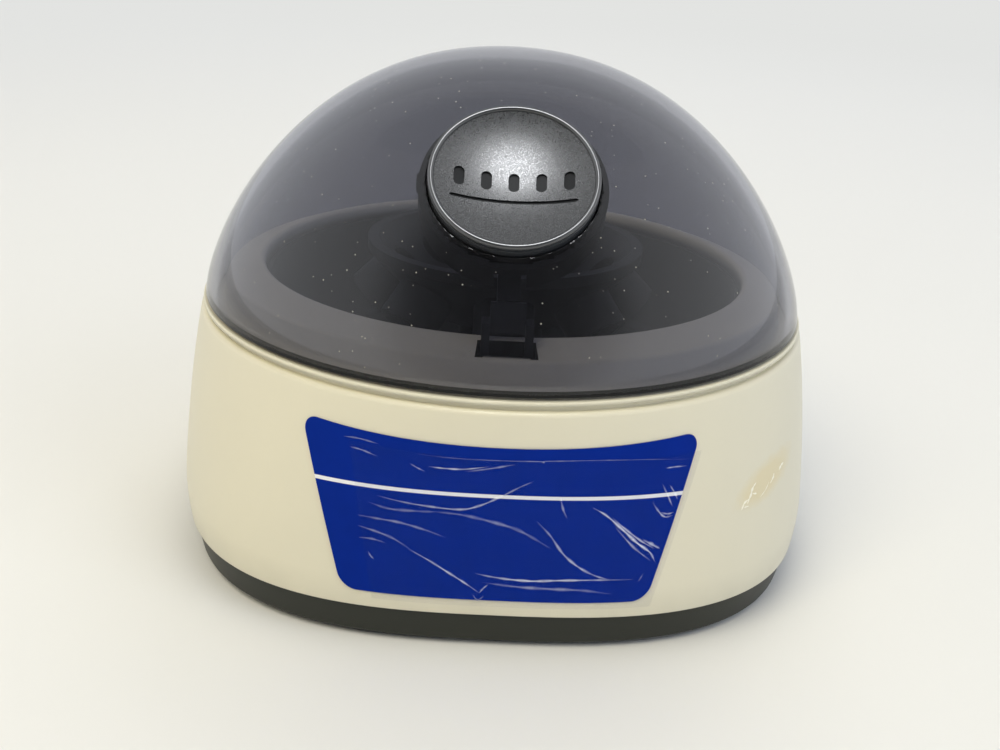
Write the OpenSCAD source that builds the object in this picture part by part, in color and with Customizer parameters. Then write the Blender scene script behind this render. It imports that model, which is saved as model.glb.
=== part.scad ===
// Bench microcentrifuge with a smoked domed lid and an eight-place rotor.
// Millimetres, +Z up, front at -Y. The origin is on the rotor axis at bench level.

/* [Body] */
// Width of the housing at the parting line
body_w = 160; // [140:1:200]
// Rotor axis to the front of the housing
front_reach = 79.3; // [78:0.1:95]
// Rotor axis to the back of the housing
rear_reach = 88; // [86:0.5:110]
// Height of the parting line between tray and housing
seam_z = 9; // [8:0.5:11]
// Height of the housing's lip
lip_z = 57; // [55:0.5:70]
// Radius of the lip round the lid
lip_r = 77; // [76.5:0.1:79]
// How square the corners are at the parting line: 2 is an ellipse
corner_n = 2.78; // [2.2:0.02:4]
// How square the back corners are at the lip
rear_top_n = 2.6; // [2.4:0.02:3.2]
// Wall of the housing and the tray
wall = 2.4; // [1.8:0.1:3]

/* [Deck] */
// Height of the ledge under the lid's edge
ledge_z = 59.3; // [58.5:0.1:59.6]
// Radius of the raised deck's outer edge
deck_r = 70.2; // [69.8:0.1:70.8]
// Height of the deck at the bowl opening
deck_z = 68.6; // [67:0.1:72]
// Drop of the deck from the bowl opening to its outer edge
deck_drop = 2.3; // [1:0.1:3]
// Radius of the bowl opening
bowl_r = 61; // [56:0.5:61.5]
// Height of the bowl's floor
bowl_floor_z = 37.5; // [36:0.5:40]

/* [Lid] */
// Outer radius of the lid's rim
lid_r = 76; // [74:0.1:76.4]
// Height of the rim's lower edge
lid_z = 60.1; // [60:0.1:61]
// Height of the dome over the rim
dome_h = 61.2; // [55:0.1:74]
// Fullness of the dome towards its side
dome_side_n = 2.185; // [2:0.005:2.4]
// Fullness of the dome towards its top
dome_top_n = 1.48; // [1.4:0.01:1.7]
// Wall of the dome
dome_wall = 2.6; // [2:0.1:3]
// Radius of the hinge pin
hinge_pin_r = 1.5; // [1:0.1:2]

/* [Button and latch] */
// Outer radius of the press button
button_r = 18.9; // [15.5:0.1:21]
// Tilt of the button's axis above the horizontal, in degrees
button_tilt = 48.8; // [45:0.1:51]
// Radius of the finger dish in the button
dish_r = 50; // [40:1:80]
// Sunk bars across the button
mark_count = 5; // [1:1:5]
// Half width of the latch slot in the deck
slot_half_w = 6.35; // [6:0.05:8]
// Radius of the latch lever's pin
latch_pin_r = 1.2; // [0.8:0.1:1.5]

/* [Rotor] */
// Number of tube places
tube_count = 8; // [4:1:8]
// Radius of a tube hole
tube_r = 5.6; // [4:0.1:5.8]
// Rotor axis to the middle of a tube hole's mouth
tube_ring_r = 24.5; // [24:0.1:28]
// Height of the tube holes' mouths
tube_mouth_z = 65.5; // [64:0.5:68]
// Length of a tube hole
tube_sleeve = 13; // [9:0.5:16]
// Radius of the motor shaft
shaft_r = 2; // [1.5:0.1:2.5]

/* [Motor and electrics] */
// Radius of the motor can
motor_r = 18; // [14:0.5:20]
// Radius of the circle of rubber motor mounts
mount_ring_r = 28; // [27:0.5:32]
// Radius of the plug's hole in the power inlet
plug_r = 2.9; // [2.5:0.05:3.2]
// Distance of inlet and switch from the middle of the rear panel
panel_item_x = 15; // [13:0.5:18]
// Tilt of the rocker to each side, in degrees
rocker_tilt = 8; // [5:0.5:10]

/* [Label] */
// Half width of the label at its top
label_top_w = 44; // [36:0.5:48]
// Half width of the label at its foot
label_foot_w = 34; // [28:0.5:40]
// Height of the label's foot
label_foot_z = 13; // [12:0.5:16]
// Height of the label's upper corners
label_top_z = 50; // [44:0.5:52]

/* [Hidden] */
$fn = 96;

// Clearances shared by the pieces that fit each other
slide_gap = 0.25;
running_gap = 0.05;
screw_gap = 0.1;
pilot_gap = 0.05;
move_gap = 0.4;
film_gap = 0.05;
press_gap = 0.01;
label_gap = 0.12;

// Length of cuts that pass right through
through = 60;

// Feet and tray
foot_lift = 1.5;
foot_r = 8;
foot_sink = 1;
foot_round = 0.6;
foot_x = body_w / 2 - 38;
foot_at = [for (y = [21.3 - front_reach, rear_reach - 26], side = [1, -1]) [side * foot_x, y]];
tray_reveal = 0.6;
tray_draft = 1.8;
tray_front_draft = 1.2;
// How far the sides come in at the parting line, and how far up that reaches
seam_tuck = 1.6;
tuck_rise = 0.22;
tray_edge = 0.6;
spigot_h = 3;
floor_z = foot_lift + wall;
rear_top = rear_reach - 2;
ring_points = 80;

// Screws between tray and housing
screw_r = 1.45;
screw_head_r = 3.1;
screw_head_h = 2;
screw_seat_z = 8;
boss_r = 4;
boss_gap = 0.2;
boss_top_z = 32;
rib_t = 2;
boss_front = [body_w / 2 - 24.5, 24.8 - front_reach];
boss_rear = [body_w / 2 - 24.5, rear_reach - 27.3];
boss_at = [for (p = [boss_front, boss_rear], side = [1, -1]) [side * p.x, p.y]];
boss_foot_z = seam_z + spigot_h + boss_gap;
base_screw_len = 18;
base_pilot_top = screw_seat_z + base_screw_len + 2;

// Deck ring and bowl
lip_round = 1.2;
plate_h = wall;
ledge_r = lip_r - 0.4;
ledge_t = 1;
groove_r = lip_r - lip_round - 0.4;
deck_edge_z = deck_z - deck_drop;
land_z = deck_z - 4;
bowl_wall = 2.2;
bowl_top_r = bowl_r - 1.5;
bowl_foot_r = bowl_top_r - 3.5;
bowl_flange_r = deck_r - 3.2;
bowl_flange_h = 2.2;
bowl_screw_r = 0.95;
bowl_screw_ring_r = (bowl_top_r + bowl_wall + bowl_flange_r) / 2;
bowl_screw_count = 6;
bowl_screw_head = [2, 1.4];
bowl_screw_bite = 2;
seal_r = 6.2;
seal_h = 3;
collar_r = 9;
collar_h = 3;

// Latch slot in the deck
slot_back_y = -(bowl_r + 2.5);
slot_front_y = -(deck_r - 1.6);
slot_foot_z = land_z - 5.6;

// Hinge behind the lid
hinge_y = lid_r + 4;
hinge_z = lid_z + 3.4;
knuckle_r = 3.6;
lug_r = 3.4;
lug_half_w = 13.6;
knuckle_w = 10;
knuckle_x = lug_half_w + move_gap;

// Dome profile
dome_steps = 28;

// Button frame: its axis meets the dome where the dome's own slope matches the tilt
button_z = lid_z + 41.9;
button_y = -dome_radius(button_z, 0);
guide_r = button_r + slide_gap;
guide_wall = 1.6;
guide_depth = 11;
guide_floor = 2;
rim_rise = 0.5;
bead_r = 0.7;
button_wall = 2;
button_skirt = 8;
face_r = button_r - 2 * bead_r;
dish_z = rim_rise - bead_r + sqrt(dish_r * dish_r - face_r * face_r);

// Sunk marks of the button: bars on a bowed row, and one bowed line under them
mark_depth = 0.5;
mark_half = face_r * 0.69;
mark_pitch = 2 * mark_half / 4;
mark_size = [2.4, 4.8];
mark_y = 0.4;
mark_bow = 0.3;
line_half = face_r * 0.8;
line_w = 0.9;
line_y = -4.9;
line_bow = 0.25;
line_steps = 16;
bead_groove = 0.35;

// Return spring of the button
spring_wire_r = 0.45;
spring_r = 8;
spring_turns = 3;
spring_sides = 6;
spring_turn_steps = 8;
spring_steps = spring_turn_steps * spring_turns;
spring_from = -guide_depth + spring_wire_r + 0.1;
spring_to = dish_z - dish_r - button_wall - spring_wire_r - 0.6;

// Latch lever, in the button's frame: s down the face, d out along the axis
pivot_s = 4;
pivot_d = -16.5;
push_s = -12;
pusher = [6, 4];
push_d = -guide_depth - guide_floor - 0.4;
pivot = button_point(pivot_s, pivot_d);
pin_boss_r = 3;
arm_half_w = 2.5;
ear_w = 2.5;
ear_x = arm_half_w + 0.9 + move_gap;
block_half_w = 3.8;
leg_w = 1.8;
block_top_z = deck_z + 8.4;
block_foot_z = deck_z + 1.6;
leg_top_z = deck_z + 4.6;
leg_foot_z = land_z - 3.1;
barb_z = land_z + 0.1;
barb_tip_y = slot_back_y - 0.5;
leg_back_y = barb_tip_y - 1.2;
leg_front_y = leg_back_y - 1.2;

// Lid switch under the slot
switch_w = 12.8;
switch_d = 5.6;
switch_h = 6.5;
switch_screw_r = 0.9;
switch_screw_head = [1.4, 1.2];
switch_y = -(bowl_top_r + bowl_wall + 2.7);
switch_top_z = leg_foot_z - 3;
plunger_r = 1.2;
plunger_sink = 2;
plunger_show = 1.3;
plunger_x = block_half_w + leg_w / 2;
hanger_w = 2;
hanger_x = switch_w / 2 + 0.1;
hanger_foot_z = switch_top_z - switch_h;

// Motor and its mount
plate_z = 28;
plate_t = 2;
motor_plate_r = mount_ring_r + 7;
motor_foot_z = floor_z + 1.7;
motor_boss_r = 5.8;
motor_boss_h = 3;
motor_screw_ring_r = 12.5;
grommet_r = 6.5;
grommet_neck_r = 4.4;
grommet_lip = 2;
post_r = 5;
mount_angles = [30, 150, 270];
plate_screw_head = [5, 1.6];
plate_screw_len = 18;
motor_screw_head = [2.6, 1.6];
motor_screw_len = 7;
shaft_foot_z = motor_foot_z + 4;

// Spindle and rotor
adapter_r = 5;
adapter_flange_r = 8;
adapter_z = bowl_floor_z + collar_h + 0.9;
rotor_seat_z = adapter_z + 1.6;
hub_r = 10;
hub_top_z = rotor_seat_z + 17;
shaft_top_z = hub_top_z - 4;
web_t = 4;
web_half = 11.3;
sleeve_wall = 1.8;
stud_r = 2.5;
nut_r = 8;
nut_h = 9;
nut_flutes = 10;

// Control board
board = [56, 34, 1.6];
board_at = [0, rear_reach - 40];
board_z = 9;
board_hole = [24, 13.5];
board_post_r = 3;
board_screw_r = 1.15;
board_screw_head = [2.3, 1.5];
board_screw_len = 5;

// Rear panel
panel_y = rear_reach - 7;
panel_half_w = 29;
panel_z = 30;
panel_half_h = 13;
panel_rim = 2.4;
inlet_r = 5.4;
inlet_flange_r = 7.2;
inlet_flange_h = 1.6;
inlet_depth = 13;
inlet_pin_r = 1.05;
rocker_frame = [13, 19];
rocker_bezel = 1;
rocker_cavity = [11, 16.6];
rocker_depth = 17;
rocker_axis_y = panel_y - 0.9;
rocker_pit = 9;
pivot_r = 1.2;
pivot_reach = 6;
inlet_nut_r = 8;
inlet_nut_h = 2.5;

// Label
label_t = 0.25;
label_round = 3.5;
label_dip = 1;
label_rows = 14;
label_cols = 16;

// Plan of the housing and the tray

function mix(a, b, u) = a + (b - a) * u;
function signed_pow(v, e) = sign(v) * pow(abs(v), e);
function rise(z) = (z - seam_z) / (lip_z - seam_z);
function tuck(z) = seam_tuck * pow(max(1 - max(rise(z), 0) / tuck_rise, 0), 2);
function body_half_w(z) = lip_r + (body_w / 2 - lip_r) * (1 - pow(max(rise(z), 0), 2.5)) - tuck(z);
function body_front(z) = mix(front_reach, lip_r, rise(z));
function body_rear(z) = mix(rear_reach, rear_top, rise(z));
function body_n(z) = mix(corner_n, 2, rise(z));
function body_rear_n(z) = mix(corner_n, rear_top_n, rise(z));

// One closed ring of a rounded plan at height z
function plan_ring(half_w, front, rear, front_n, rear_n, z) = [
    for (i = [0 : ring_points - 1])
        let (
            c = cos(360 * i / ring_points),
            s = sin(360 * i / ring_points),
            n = s < 0 ? front_n : rear_n
        )
        [half_w * signed_pow(c, 2 / n), (s < 0 ? front : rear) * signed_pow(s, 2 / n), z]
];
function body_ring(z, inset) = plan_ring(
    body_half_w(z) - inset, body_front(z) - inset, body_rear(z) - inset, body_n(z), body_rear_n(z), z);
function round_ring(r, z) = plan_ring(r, r, r, 2, 2, z);

// The tray leans in from the parting line to the bench
function tray_ring(z, inset) =
    let (u = (seam_z - z) / (seam_z - foot_lift), in = tray_reveal + inset)
    plan_ring(
        body_half_w(z) - in - tray_draft * u,
        front_reach - in - tray_front_draft * u,
        rear_reach - in - tray_front_draft * u,
        corner_n, corner_n, z);

function ring_faces(a, b) = [
    for (i = [0 : ring_points - 1])
        let (j = (i + 1) % ring_points, p = a * ring_points, q = b * ring_points)
        each [[p + i, q + i, q + j], [p + i, q + j, p + j]]
];

// Rings skinned into a closed ring-shaped shell
module looped_skin(rings) {
    count = len(rings);
    polyhedron(
        points = [for (r = rings) each r],
        faces = [for (k = [0 : count - 1]) each ring_faces(k, (k + 1) % count)],
        convexity = 6);
}

// Rings skinned into a solid that is closed at its first and last ring
module capped_skin(rings) {
    count = len(rings);
    last = (count - 1) * ring_points;
    polyhedron(
        points = [for (r = rings) each r],
        faces = [
            for (k = [0 : count - 2]) each ring_faces(k, k + 1),
            [for (i = [0 : ring_points - 1]) i],
            [for (i = [ring_points - 1 : -1 : 0]) last + i]
        ],
        convexity = 6);
}

// Points of an arc in the profile plane
function arc(centre, r, from, to, steps = 6) = [
    for (i = [0 : steps]) let (a = mix(from, to, i / steps)) centre + r * [cos(a), sin(a)]
];

// An outline in Y and Z, made into a slab across X
module slab(half_w, outline, x = 0) {
    translate([x, 0, 0]) rotate([90, 0, 90])
        linear_extrude(2 * half_w, center = true) polygon(outline);
}

// A round bar along X
module bar_x(r, from, to, y, z) {
    translate([from, y, z]) rotate([0, 90, 0]) cylinder(r = r, h = to - from);
}

// A round bar along Y
module bar_y(r, from, to, x, z, sides = 0) {
    translate([x, to, z]) rotate([90, 0, 0]) cylinder(r = r, h = to - from, $fn = sides ? sides : $fn);
}

// A screw that points up from its head, or down when flipped
module screw(r, head, length, flip = false) {
    mirror([0, 0, flip ? 1 : 0]) {
        translate([0, 0, -head.y]) cylinder(r = head.x, h = head.y);
        cylinder(r = r, h = length);
    }
}

// Dome profile

function dome_point(t, inset) = [
    (lid_r - inset) * pow(cos(t), 2 / dome_side_n),
    lid_z + (dome_h - inset) * pow(sin(t), 2 / dome_top_n)
];
function dome_radius(z, inset) =
    (lid_r - inset) * pow(1 - pow((z - lid_z) / (dome_h - inset), dome_top_n), 1 / dome_side_n);
function dome_curve(inset) = [for (i = [0 : dome_steps]) dome_point(90 * i / dome_steps, inset)];

// Everything under the dome's surface, at an inset from it, down to a foot
module under_dome(inset, foot = lid_z) {
    rotate_extrude() polygon(concat(
        [[0, foot], [lid_r - inset, foot]],
        [for (p = dome_curve(inset)) [max(p.x, 0), p.y]]));
}

// A point in Y and Z, s down the button's face and d out along its axis
function button_point(s, d) = [
    button_y - s * sin(button_tilt) - d * cos(button_tilt),
    button_z - s * cos(button_tilt) + d * sin(button_tilt)
];

// Stands the children on the button's axis, +Z outward
module on_button() {
    translate([0, button_y, button_z]) rotate([90 - button_tilt, 0, 0]) children();
}

// Housing

module housing_shell() {
    rows = 9;
    crowding = 1.4; // brings the rows closer together towards the parting line
    outer = [for (k = [0 : rows]) body_ring(mix(seam_z, lip_z - lip_round, pow(k / rows, crowding)), 0)];
    lip = [for (a = [30, 60, 90]) body_ring(lip_z - lip_round * (1 - sin(a)), lip_round * (1 - cos(a)))];
    hole_r = groove_r - wall + 0.4;
    top = [round_ring(hole_r, lip_z), round_ring(hole_r, lip_z - plate_h)];
    inner = [for (k = [4 : -1 : 0]) body_ring(mix(seam_z + spigot_h, lip_z - plate_h, k / 4), wall)];
    looped_skin(concat(outer, lip, top, inner, [body_ring(seam_z, wall)]));
}

// Ledge, raised deck and bowl opening as one profile
module deck_ring() {
    round_r = 1.2;
    foot_r = deck_r + 1;
    inner_r = groove_r - wall;
    edge_r = 0.4;
    rotate_extrude() polygon(concat(
        [[inner_r, lip_z - plate_h], [groove_r, lip_z - plate_h], [groove_r, ledge_z - ledge_t],
         [ledge_r, ledge_z - ledge_t]],
        arc([ledge_r - edge_r, ledge_z - edge_r], edge_r, 0, 90, 3),
        [[foot_r, ledge_z]],
        arc([deck_r - round_r, deck_edge_z - round_r], round_r, 10, 75),
        arc([bowl_r + round_r, deck_z - round_r], round_r, 80, 180),
        [[bowl_r, land_z], [deck_r - 3, land_z], [foot_r - 3, ledge_z - wall], [inner_r, ledge_z - wall]]));
}

module hinge_knuckles() {
    for (side = [1, -1]) {
        mid = side * (knuckle_x + knuckle_w / 2);
        bar_x(knuckle_r, mid - knuckle_w / 2, mid + knuckle_w / 2, hinge_y, hinge_z);
        slab(knuckle_w / 2, [
            [hinge_y - knuckle_r, hinge_z], [hinge_y - knuckle_r, lip_z - wall],
            [hinge_y + knuckle_r, lip_z - wall], [hinge_y + knuckle_r, hinge_z]], mid);
    }
}

// Two ribs under the deck that carry the lid switch
module switch_hangers() {
    for (side = [1, -1])
        translate([side * (hanger_x + hanger_w / 2), switch_y - 1, (hanger_foot_z + land_z + 1) / 2])
            cube([hanger_w, switch_d - 2, land_z + 1 - hanger_foot_z], center = true);
}

// Block behind the rear recess and ribs to the screw bosses, kept just inside the housing's skin
module inner_ribs() {
    half_h = panel_half_h + panel_rim;
    skin_gap = 0.5;
    intersection() {
        union() {
            translate([-panel_half_w - panel_rim, panel_y - panel_rim, panel_z - half_h])
                cube([2 * (panel_half_w + panel_rim), 20, 2 * half_h]);
            for (p = boss_at) translate([p.x, p.y, boss_foot_z]) rotate([0, 0, atan2(p.y, p.x)])
                translate([0, -rib_t / 2, 0]) cube([through, rib_t, boss_top_z - boss_foot_z]);
        }
        capped_skin([for (k = [0 : 5]) body_ring(mix(seam_z + 1, lip_z - wall, k / 5), skin_gap)]);
    }
}

module upper_housing() {
    color("ivory") difference() {
        union() {
            housing_shell();
            deck_ring();
            hinge_knuckles();
            switch_hangers();
            inner_ribs();
            for (p = boss_at)
                translate([p.x, p.y, boss_foot_z]) cylinder(r = boss_r, h = boss_top_z - boss_foot_z);
        }
        // Latch slot
        translate([-slot_half_w, slot_front_y, slot_foot_z])
            cube([2 * slot_half_w, slot_back_y - slot_front_y, deck_z + 1 - slot_foot_z]);
        // Recess of the rear panel with its two cut-outs
        translate([-panel_half_w, panel_y, panel_z - panel_half_h])
            cube([2 * panel_half_w, 10, 2 * panel_half_h]);
        bar_y(inlet_r + screw_gap, panel_y - 10, panel_y + 1, -panel_item_x, panel_z);
        translate([panel_item_x, panel_y, panel_z])
            cube([rocker_frame.x + 2 * screw_gap, 20, rocker_frame.y + 2 * screw_gap], center = true);
        // Hinge pin, switch screws, base screws and bowl screws
        bar_x(hinge_pin_r + press_gap, -lid_r, lid_r, hinge_y, hinge_z);
        switch_screw_places() bar_x(switch_screw_r + screw_gap, -switch_w, switch_w, 0, 0);
        for (p = boss_at)
            translate([p.x, p.y, boss_foot_z - 1])
                cylinder(r = screw_r + pilot_gap, h = base_pilot_top - boss_foot_z + 1);
        bowl_screw_places() translate([0, 0, land_z - 1])
            cylinder(r = bowl_screw_r + pilot_gap, h = bowl_screw_bite + 1.3);
    }
}

// Tray and feet

module tray_skin() {
    capped_skin([
        tray_ring(foot_lift, tray_edge), tray_ring(foot_lift + tray_edge, 0), tray_ring(seam_z, 0),
        body_ring(seam_z, wall + slide_gap), body_ring(seam_z + spigot_h, wall + slide_gap),
        body_ring(seam_z + spigot_h, 2 * wall), tray_ring(floor_z, wall + 1)
    ]);
}

module base_tray() {
    color("dimgray") difference() {
        union() {
            tray_skin();
            for (p = boss_at)
                translate([p.x, p.y, floor_z - 1])
                    cylinder(r = boss_r, h = boss_foot_z - boss_gap - floor_z + 1);
            mount_places() translate([0, 0, floor_z - 1])
                cylinder(r = post_r, h = plate_z - grommet_lip - floor_z + 1);
            board_places() translate([0, 0, floor_z - 1])
                cylinder(r = board_post_r, h = board_z - floor_z + 1);
        }
        for (p = boss_at) translate([p.x, p.y, 0]) {
            cylinder(r = screw_head_r + slide_gap, h = screw_seat_z);
            cylinder(r = screw_r + slide_gap, h = through);
        }
        for (p = foot_at) translate([p.x, p.y, 0])
            cylinder(r = foot_r + slide_gap, h = foot_lift + foot_sink);
        mount_places() translate([0, 0, plate_z + 2 - plate_screw_len])
            cylinder(r = screw_r + pilot_gap, h = plate_screw_len);
        board_places() translate([0, 0, board_z - 4])
            cylinder(r = board_screw_r + pilot_gap, h = board_screw_len);
        // Cooling slots under the motor
        for (i = [-3 : 3]) translate([i * 5.5, 0, 0]) cube([3, 30, 20], center = true);
    }
}

module rubber_feet() {
    top_z = foot_lift + foot_sink;
    color("black") for (p = foot_at) translate([p.x, p.y, 0]) rotate_extrude() polygon(concat(
        [[0, 0]], arc([foot_r - foot_round, foot_round], foot_round, -90, 0),
        [[foot_r, top_z], [0, top_z]]));
}

module base_screws() {
    color("silver") for (p = boss_at) translate([p.x, p.y, screw_seat_z])
        screw(screw_r, [screw_head_r, screw_head_h], base_screw_len);
}

// Label on the front face

function front_y(x, z) =
    -body_front(z) * pow(1 - pow(abs(x) / body_half_w(z), body_n(z)), 1 / body_n(z));
function corner_cut(h) = h >= label_round ? 0 : label_round - sqrt(2 * label_round * h - h * h);

module front_label() {
    height = label_top_z - label_foot_z;
    count = label_cols + 1;
    layer = (label_rows + 1) * count;
    points = [
        for (lift = [label_gap + label_t, label_gap], j = [0 : label_rows], i = [0 : label_cols])
            let (
                t = (1 - cos(180 * j / label_rows)) / 2,
                s = 2 * i / label_cols - 1,
                cut = corner_cut(min(t, 1 - t) * height),
                x = s * (mix(label_foot_w, label_top_w, t) - cut),
                z = label_foot_z + t * (height - label_dip * (1 - s * s))
            )
            [x, front_y(x, z) - lift, z]
    ];
    front = [
        for (j = [0 : label_rows - 1], i = [0 : label_cols - 1])
            let (a = j * count + i, b = a + count)
            each [[a, b, b + 1], [a, b + 1, a + 1]]
    ];
    rim = concat(
        [for (i = [0 : label_cols - 1]) i],
        [for (j = [0 : label_rows - 1]) j * count + label_cols],
        [for (i = [label_cols : -1 : 1]) label_rows * count + i],
        [for (j = [label_rows : -1 : 1]) j * count]);
    color("mediumblue") polyhedron(
        points = points,
        faces = concat(
            front,
            [for (f = front) [f.z + layer, f.y + layer, f.x + layer]],
            [for (k = [0 : len(rim) - 1])
                let (a = rim[k], b = rim[(k + 1) % len(rim)])
                each [[a, b, b + layer], [a, b + layer, a + layer]]]));
}

// Chamber

module bowl_screw_places() {
    for (i = [0 : bowl_screw_count - 1])
        rotate([0, 0, 360 * i / bowl_screw_count]) translate([bowl_screw_ring_r, 0, 0]) children();
}

module chamber_bowl() {
    round_r = 5;
    round_in = round_r - bowl_wall;
    under_z = bowl_floor_z - bowl_wall;
    top_z = land_z - film_gap;
    notch_w = hanger_x + hanger_w + 1;
    color("#2b2d2e") difference() {
        rotate_extrude() polygon(concat(
            [[seal_r, under_z]],
            arc([bowl_foot_r + bowl_wall - round_r, under_z + round_r], round_r, -90, -8),
            [[bowl_top_r + bowl_wall, top_z - bowl_flange_h], [bowl_flange_r, top_z - bowl_flange_h],
             [bowl_flange_r, top_z], [bowl_top_r, top_z]],
            arc([bowl_foot_r - round_in, bowl_floor_z + round_in], round_in, -8, -90),
            [[collar_r + 1, bowl_floor_z], [collar_r, bowl_floor_z + collar_h],
             [seal_r, bowl_floor_z + collar_h]]));
        // Room for the latch legs and the switch
        translate([-notch_w, -bowl_flange_r - 1, top_z - bowl_flange_h - 1])
            cube([2 * notch_w, bowl_flange_r + 0.5 - bowl_top_r - bowl_wall, bowl_flange_h + 2]);
        bowl_screw_places() translate([0, 0, bowl_floor_z])
            cylinder(r = bowl_screw_r + screw_gap, h = through);
    }
}

module bowl_screws() {
    color("silver") bowl_screw_places() translate([0, 0, land_z - film_gap - bowl_flange_h])
        screw(bowl_screw_r, bowl_screw_head, bowl_flange_h + bowl_screw_bite);
}

module shaft_seal() {
    color("#1c1c1c") translate([0, 0, bowl_floor_z - bowl_wall]) difference() {
        cylinder(r = seal_r - 2 * press_gap, h = seal_h);
        translate([0, 0, -1]) cylinder(r = shaft_r + 0.3, h = through);
        translate([0, 0, 1]) cylinder(r = shaft_r + 1.6, h = through);
    }
}

// Motor and mount

module mount_places() {
    for (a = mount_angles) rotate([0, 0, a]) translate([mount_ring_r, 0, 0]) children();
}

module motor_screw_places() {
    for (a = [45 : 90 : 315]) rotate([0, 0, a]) translate([motor_screw_ring_r, 0, 0]) children();
}

module drive_motor() {
    color("lightslategray") difference() {
        union() {
            rotate_extrude() polygon(concat(
                [[0, motor_foot_z]],
                arc([motor_r - 2, motor_foot_z + 2], 2, -90, 0),
                arc([motor_r - 1, plate_z - 1], 1, 0, 90), [[0, plate_z]]));
            cylinder(r = motor_boss_r, h = plate_z + motor_boss_h);
        }
        translate([0, 0, -1]) cylinder(r = motor_r + 1, h = motor_foot_z + 1);
        translate([0, 0, shaft_foot_z]) cylinder(r = shaft_r + running_gap, h = through);
        motor_screw_places() translate([0, 0, plate_z + 1 - motor_screw_len])
            cylinder(r = screw_r + pilot_gap, h = motor_screw_len);
    }
}

module motor_plate() {
    color("silver") difference() {
        translate([0, 0, plate_z]) cylinder(r = motor_plate_r, h = plate_t);
        cylinder(r = motor_boss_r + slide_gap, h = through);
        motor_screw_places() cylinder(r = screw_r + slide_gap, h = through);
        mount_places() cylinder(r = grommet_neck_r + screw_gap, h = through);
        // Lightening holes between the mounts
        for (a = mount_angles) rotate([0, 0, a + 60]) translate([mount_ring_r - 1, 0, 0])
            cylinder(r = 5, h = through);
    }
}

module motor_grommets() {
    bore_r = screw_r + slide_gap;
    foot = plate_z - grommet_lip;
    groove = [plate_z - pilot_gap, plate_z + plate_t + pilot_gap];
    color("#202020") mount_places() rotate_extrude() polygon([
        [bore_r, foot], [grommet_r, foot], [grommet_r, groove.x], [grommet_neck_r, groove.x],
        [grommet_neck_r, groove.y], [grommet_r, groove.y],
        [grommet_r, plate_z + plate_t + grommet_lip], [bore_r, plate_z + plate_t + grommet_lip]]);
}

module plate_screws() {
    color("gainsboro") mount_places() translate([0, 0, plate_z + plate_t + grommet_lip])
        screw(screw_r, plate_screw_head, plate_screw_len, flip = true);
}

module motor_screws() {
    color("gainsboro") motor_screw_places() translate([0, 0, plate_z + plate_t])
        screw(screw_r, motor_screw_head, motor_screw_len, flip = true);
}

// Control board

module board_places() {
    for (x = [1, -1], y = [1, -1])
        translate([board_at.x + x * board_hole.x, board_at.y + y * board_hole.y, 0]) children();
}

module control_board() {
    color("darkgreen") difference() {
        translate([board_at.x, board_at.y, board_z + board.z / 2]) cube(board, center = true);
        board_places() cylinder(r = board_screw_r + slide_gap, h = through);
    }
}

module board_components() {
    color("#333333") translate([board_at.x, board_at.y, board_z + board.z]) {
        translate([-15, -4, 0]) cylinder(r = 4, h = 9);
        translate([-15, 6, 0]) cylinder(r = 3, h = 7);
        translate([-4, -3, 0]) cube([9, 6, 1.8]);
        translate([10, -11, 0]) cube([10, 4.5, 9]);
        translate([10, 2, 0]) cube([7.5, 5.5, 5]);
        translate([-6, 8, 0]) cube([12.5, 5.5, 6]);
    }
}

module board_screws() {
    color("gainsboro") board_places() translate([0, 0, board_z + board.z])
        screw(board_screw_r, board_screw_head, board_screw_len, flip = true);
}

// Rear panel pieces

module power_inlet() {
    back_y = panel_y - inlet_depth;
    color("#18181a") {
        difference() {
            union() {
                bar_y(inlet_flange_r, panel_y, panel_y + inlet_flange_h, -panel_item_x, panel_z);
                bar_y(inlet_r, back_y, panel_y + 0.1, -panel_item_x, panel_z);
                for (x = [-2.5, 2.5])
                    translate([x - panel_item_x, back_y - 2, panel_z]) cube([1, 5, 3], center = true);
            }
            bar_y(plug_r, back_y + 2, panel_y + 10, -panel_item_x, panel_z);
        }
        bar_y(inlet_pin_r, back_y + 1, panel_y - 0.5, -panel_item_x, panel_z);
    }
}

module inlet_nut() {
    seat_y = panel_y - panel_rim;
    color("silver") difference() {
        bar_y(inlet_nut_r, seat_y - inlet_nut_h, seat_y, -panel_item_x, panel_z, 6);
        bar_y(inlet_r + pilot_gap, 0, panel_y + 10, -panel_item_x, panel_z);
    }
}

module switch_frame() {
    bezel_h = 1.6;
    bezel = rocker_frame + 2 * rocker_bezel * [1, 1];
    color("#151515") translate([panel_item_x, panel_y, panel_z]) difference() {
        union() {
            translate([0, -rocker_depth / 2, 0])
                cube([rocker_frame.x, rocker_depth, rocker_frame.y], center = true);
            translate([0, bezel_h / 2, 0]) cube([bezel.x, bezel_h, bezel.y], center = true);
        }
        cube([rocker_cavity.x, 2 * rocker_pit, rocker_cavity.y], center = true);
        bar_x(pivot_r + running_gap, -pivot_reach - 0.1, pivot_reach + 0.1, rocker_axis_y - panel_y, 0);
    }
}

module rocker() {
    half = rocker_cavity.x / 2 - move_gap;
    color("#0c0c0c") translate([panel_item_x, rocker_axis_y, panel_z]) rotate([rocker_tilt, 0, 0]) {
        slab(half, [[3.3, -7.4], [2.3, 0], [3.3, 7.4], [-5, 6.4], [-5, -6.4]]);
        bar_x(pivot_r, -pivot_reach, pivot_reach, 0, 0);
    }
}

// Lid switch

module switch_screw_places() {
    for (side = [1, -1])
        translate([0, switch_y + side * 1.5, hanger_foot_z + 1.8]) children();
}

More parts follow.
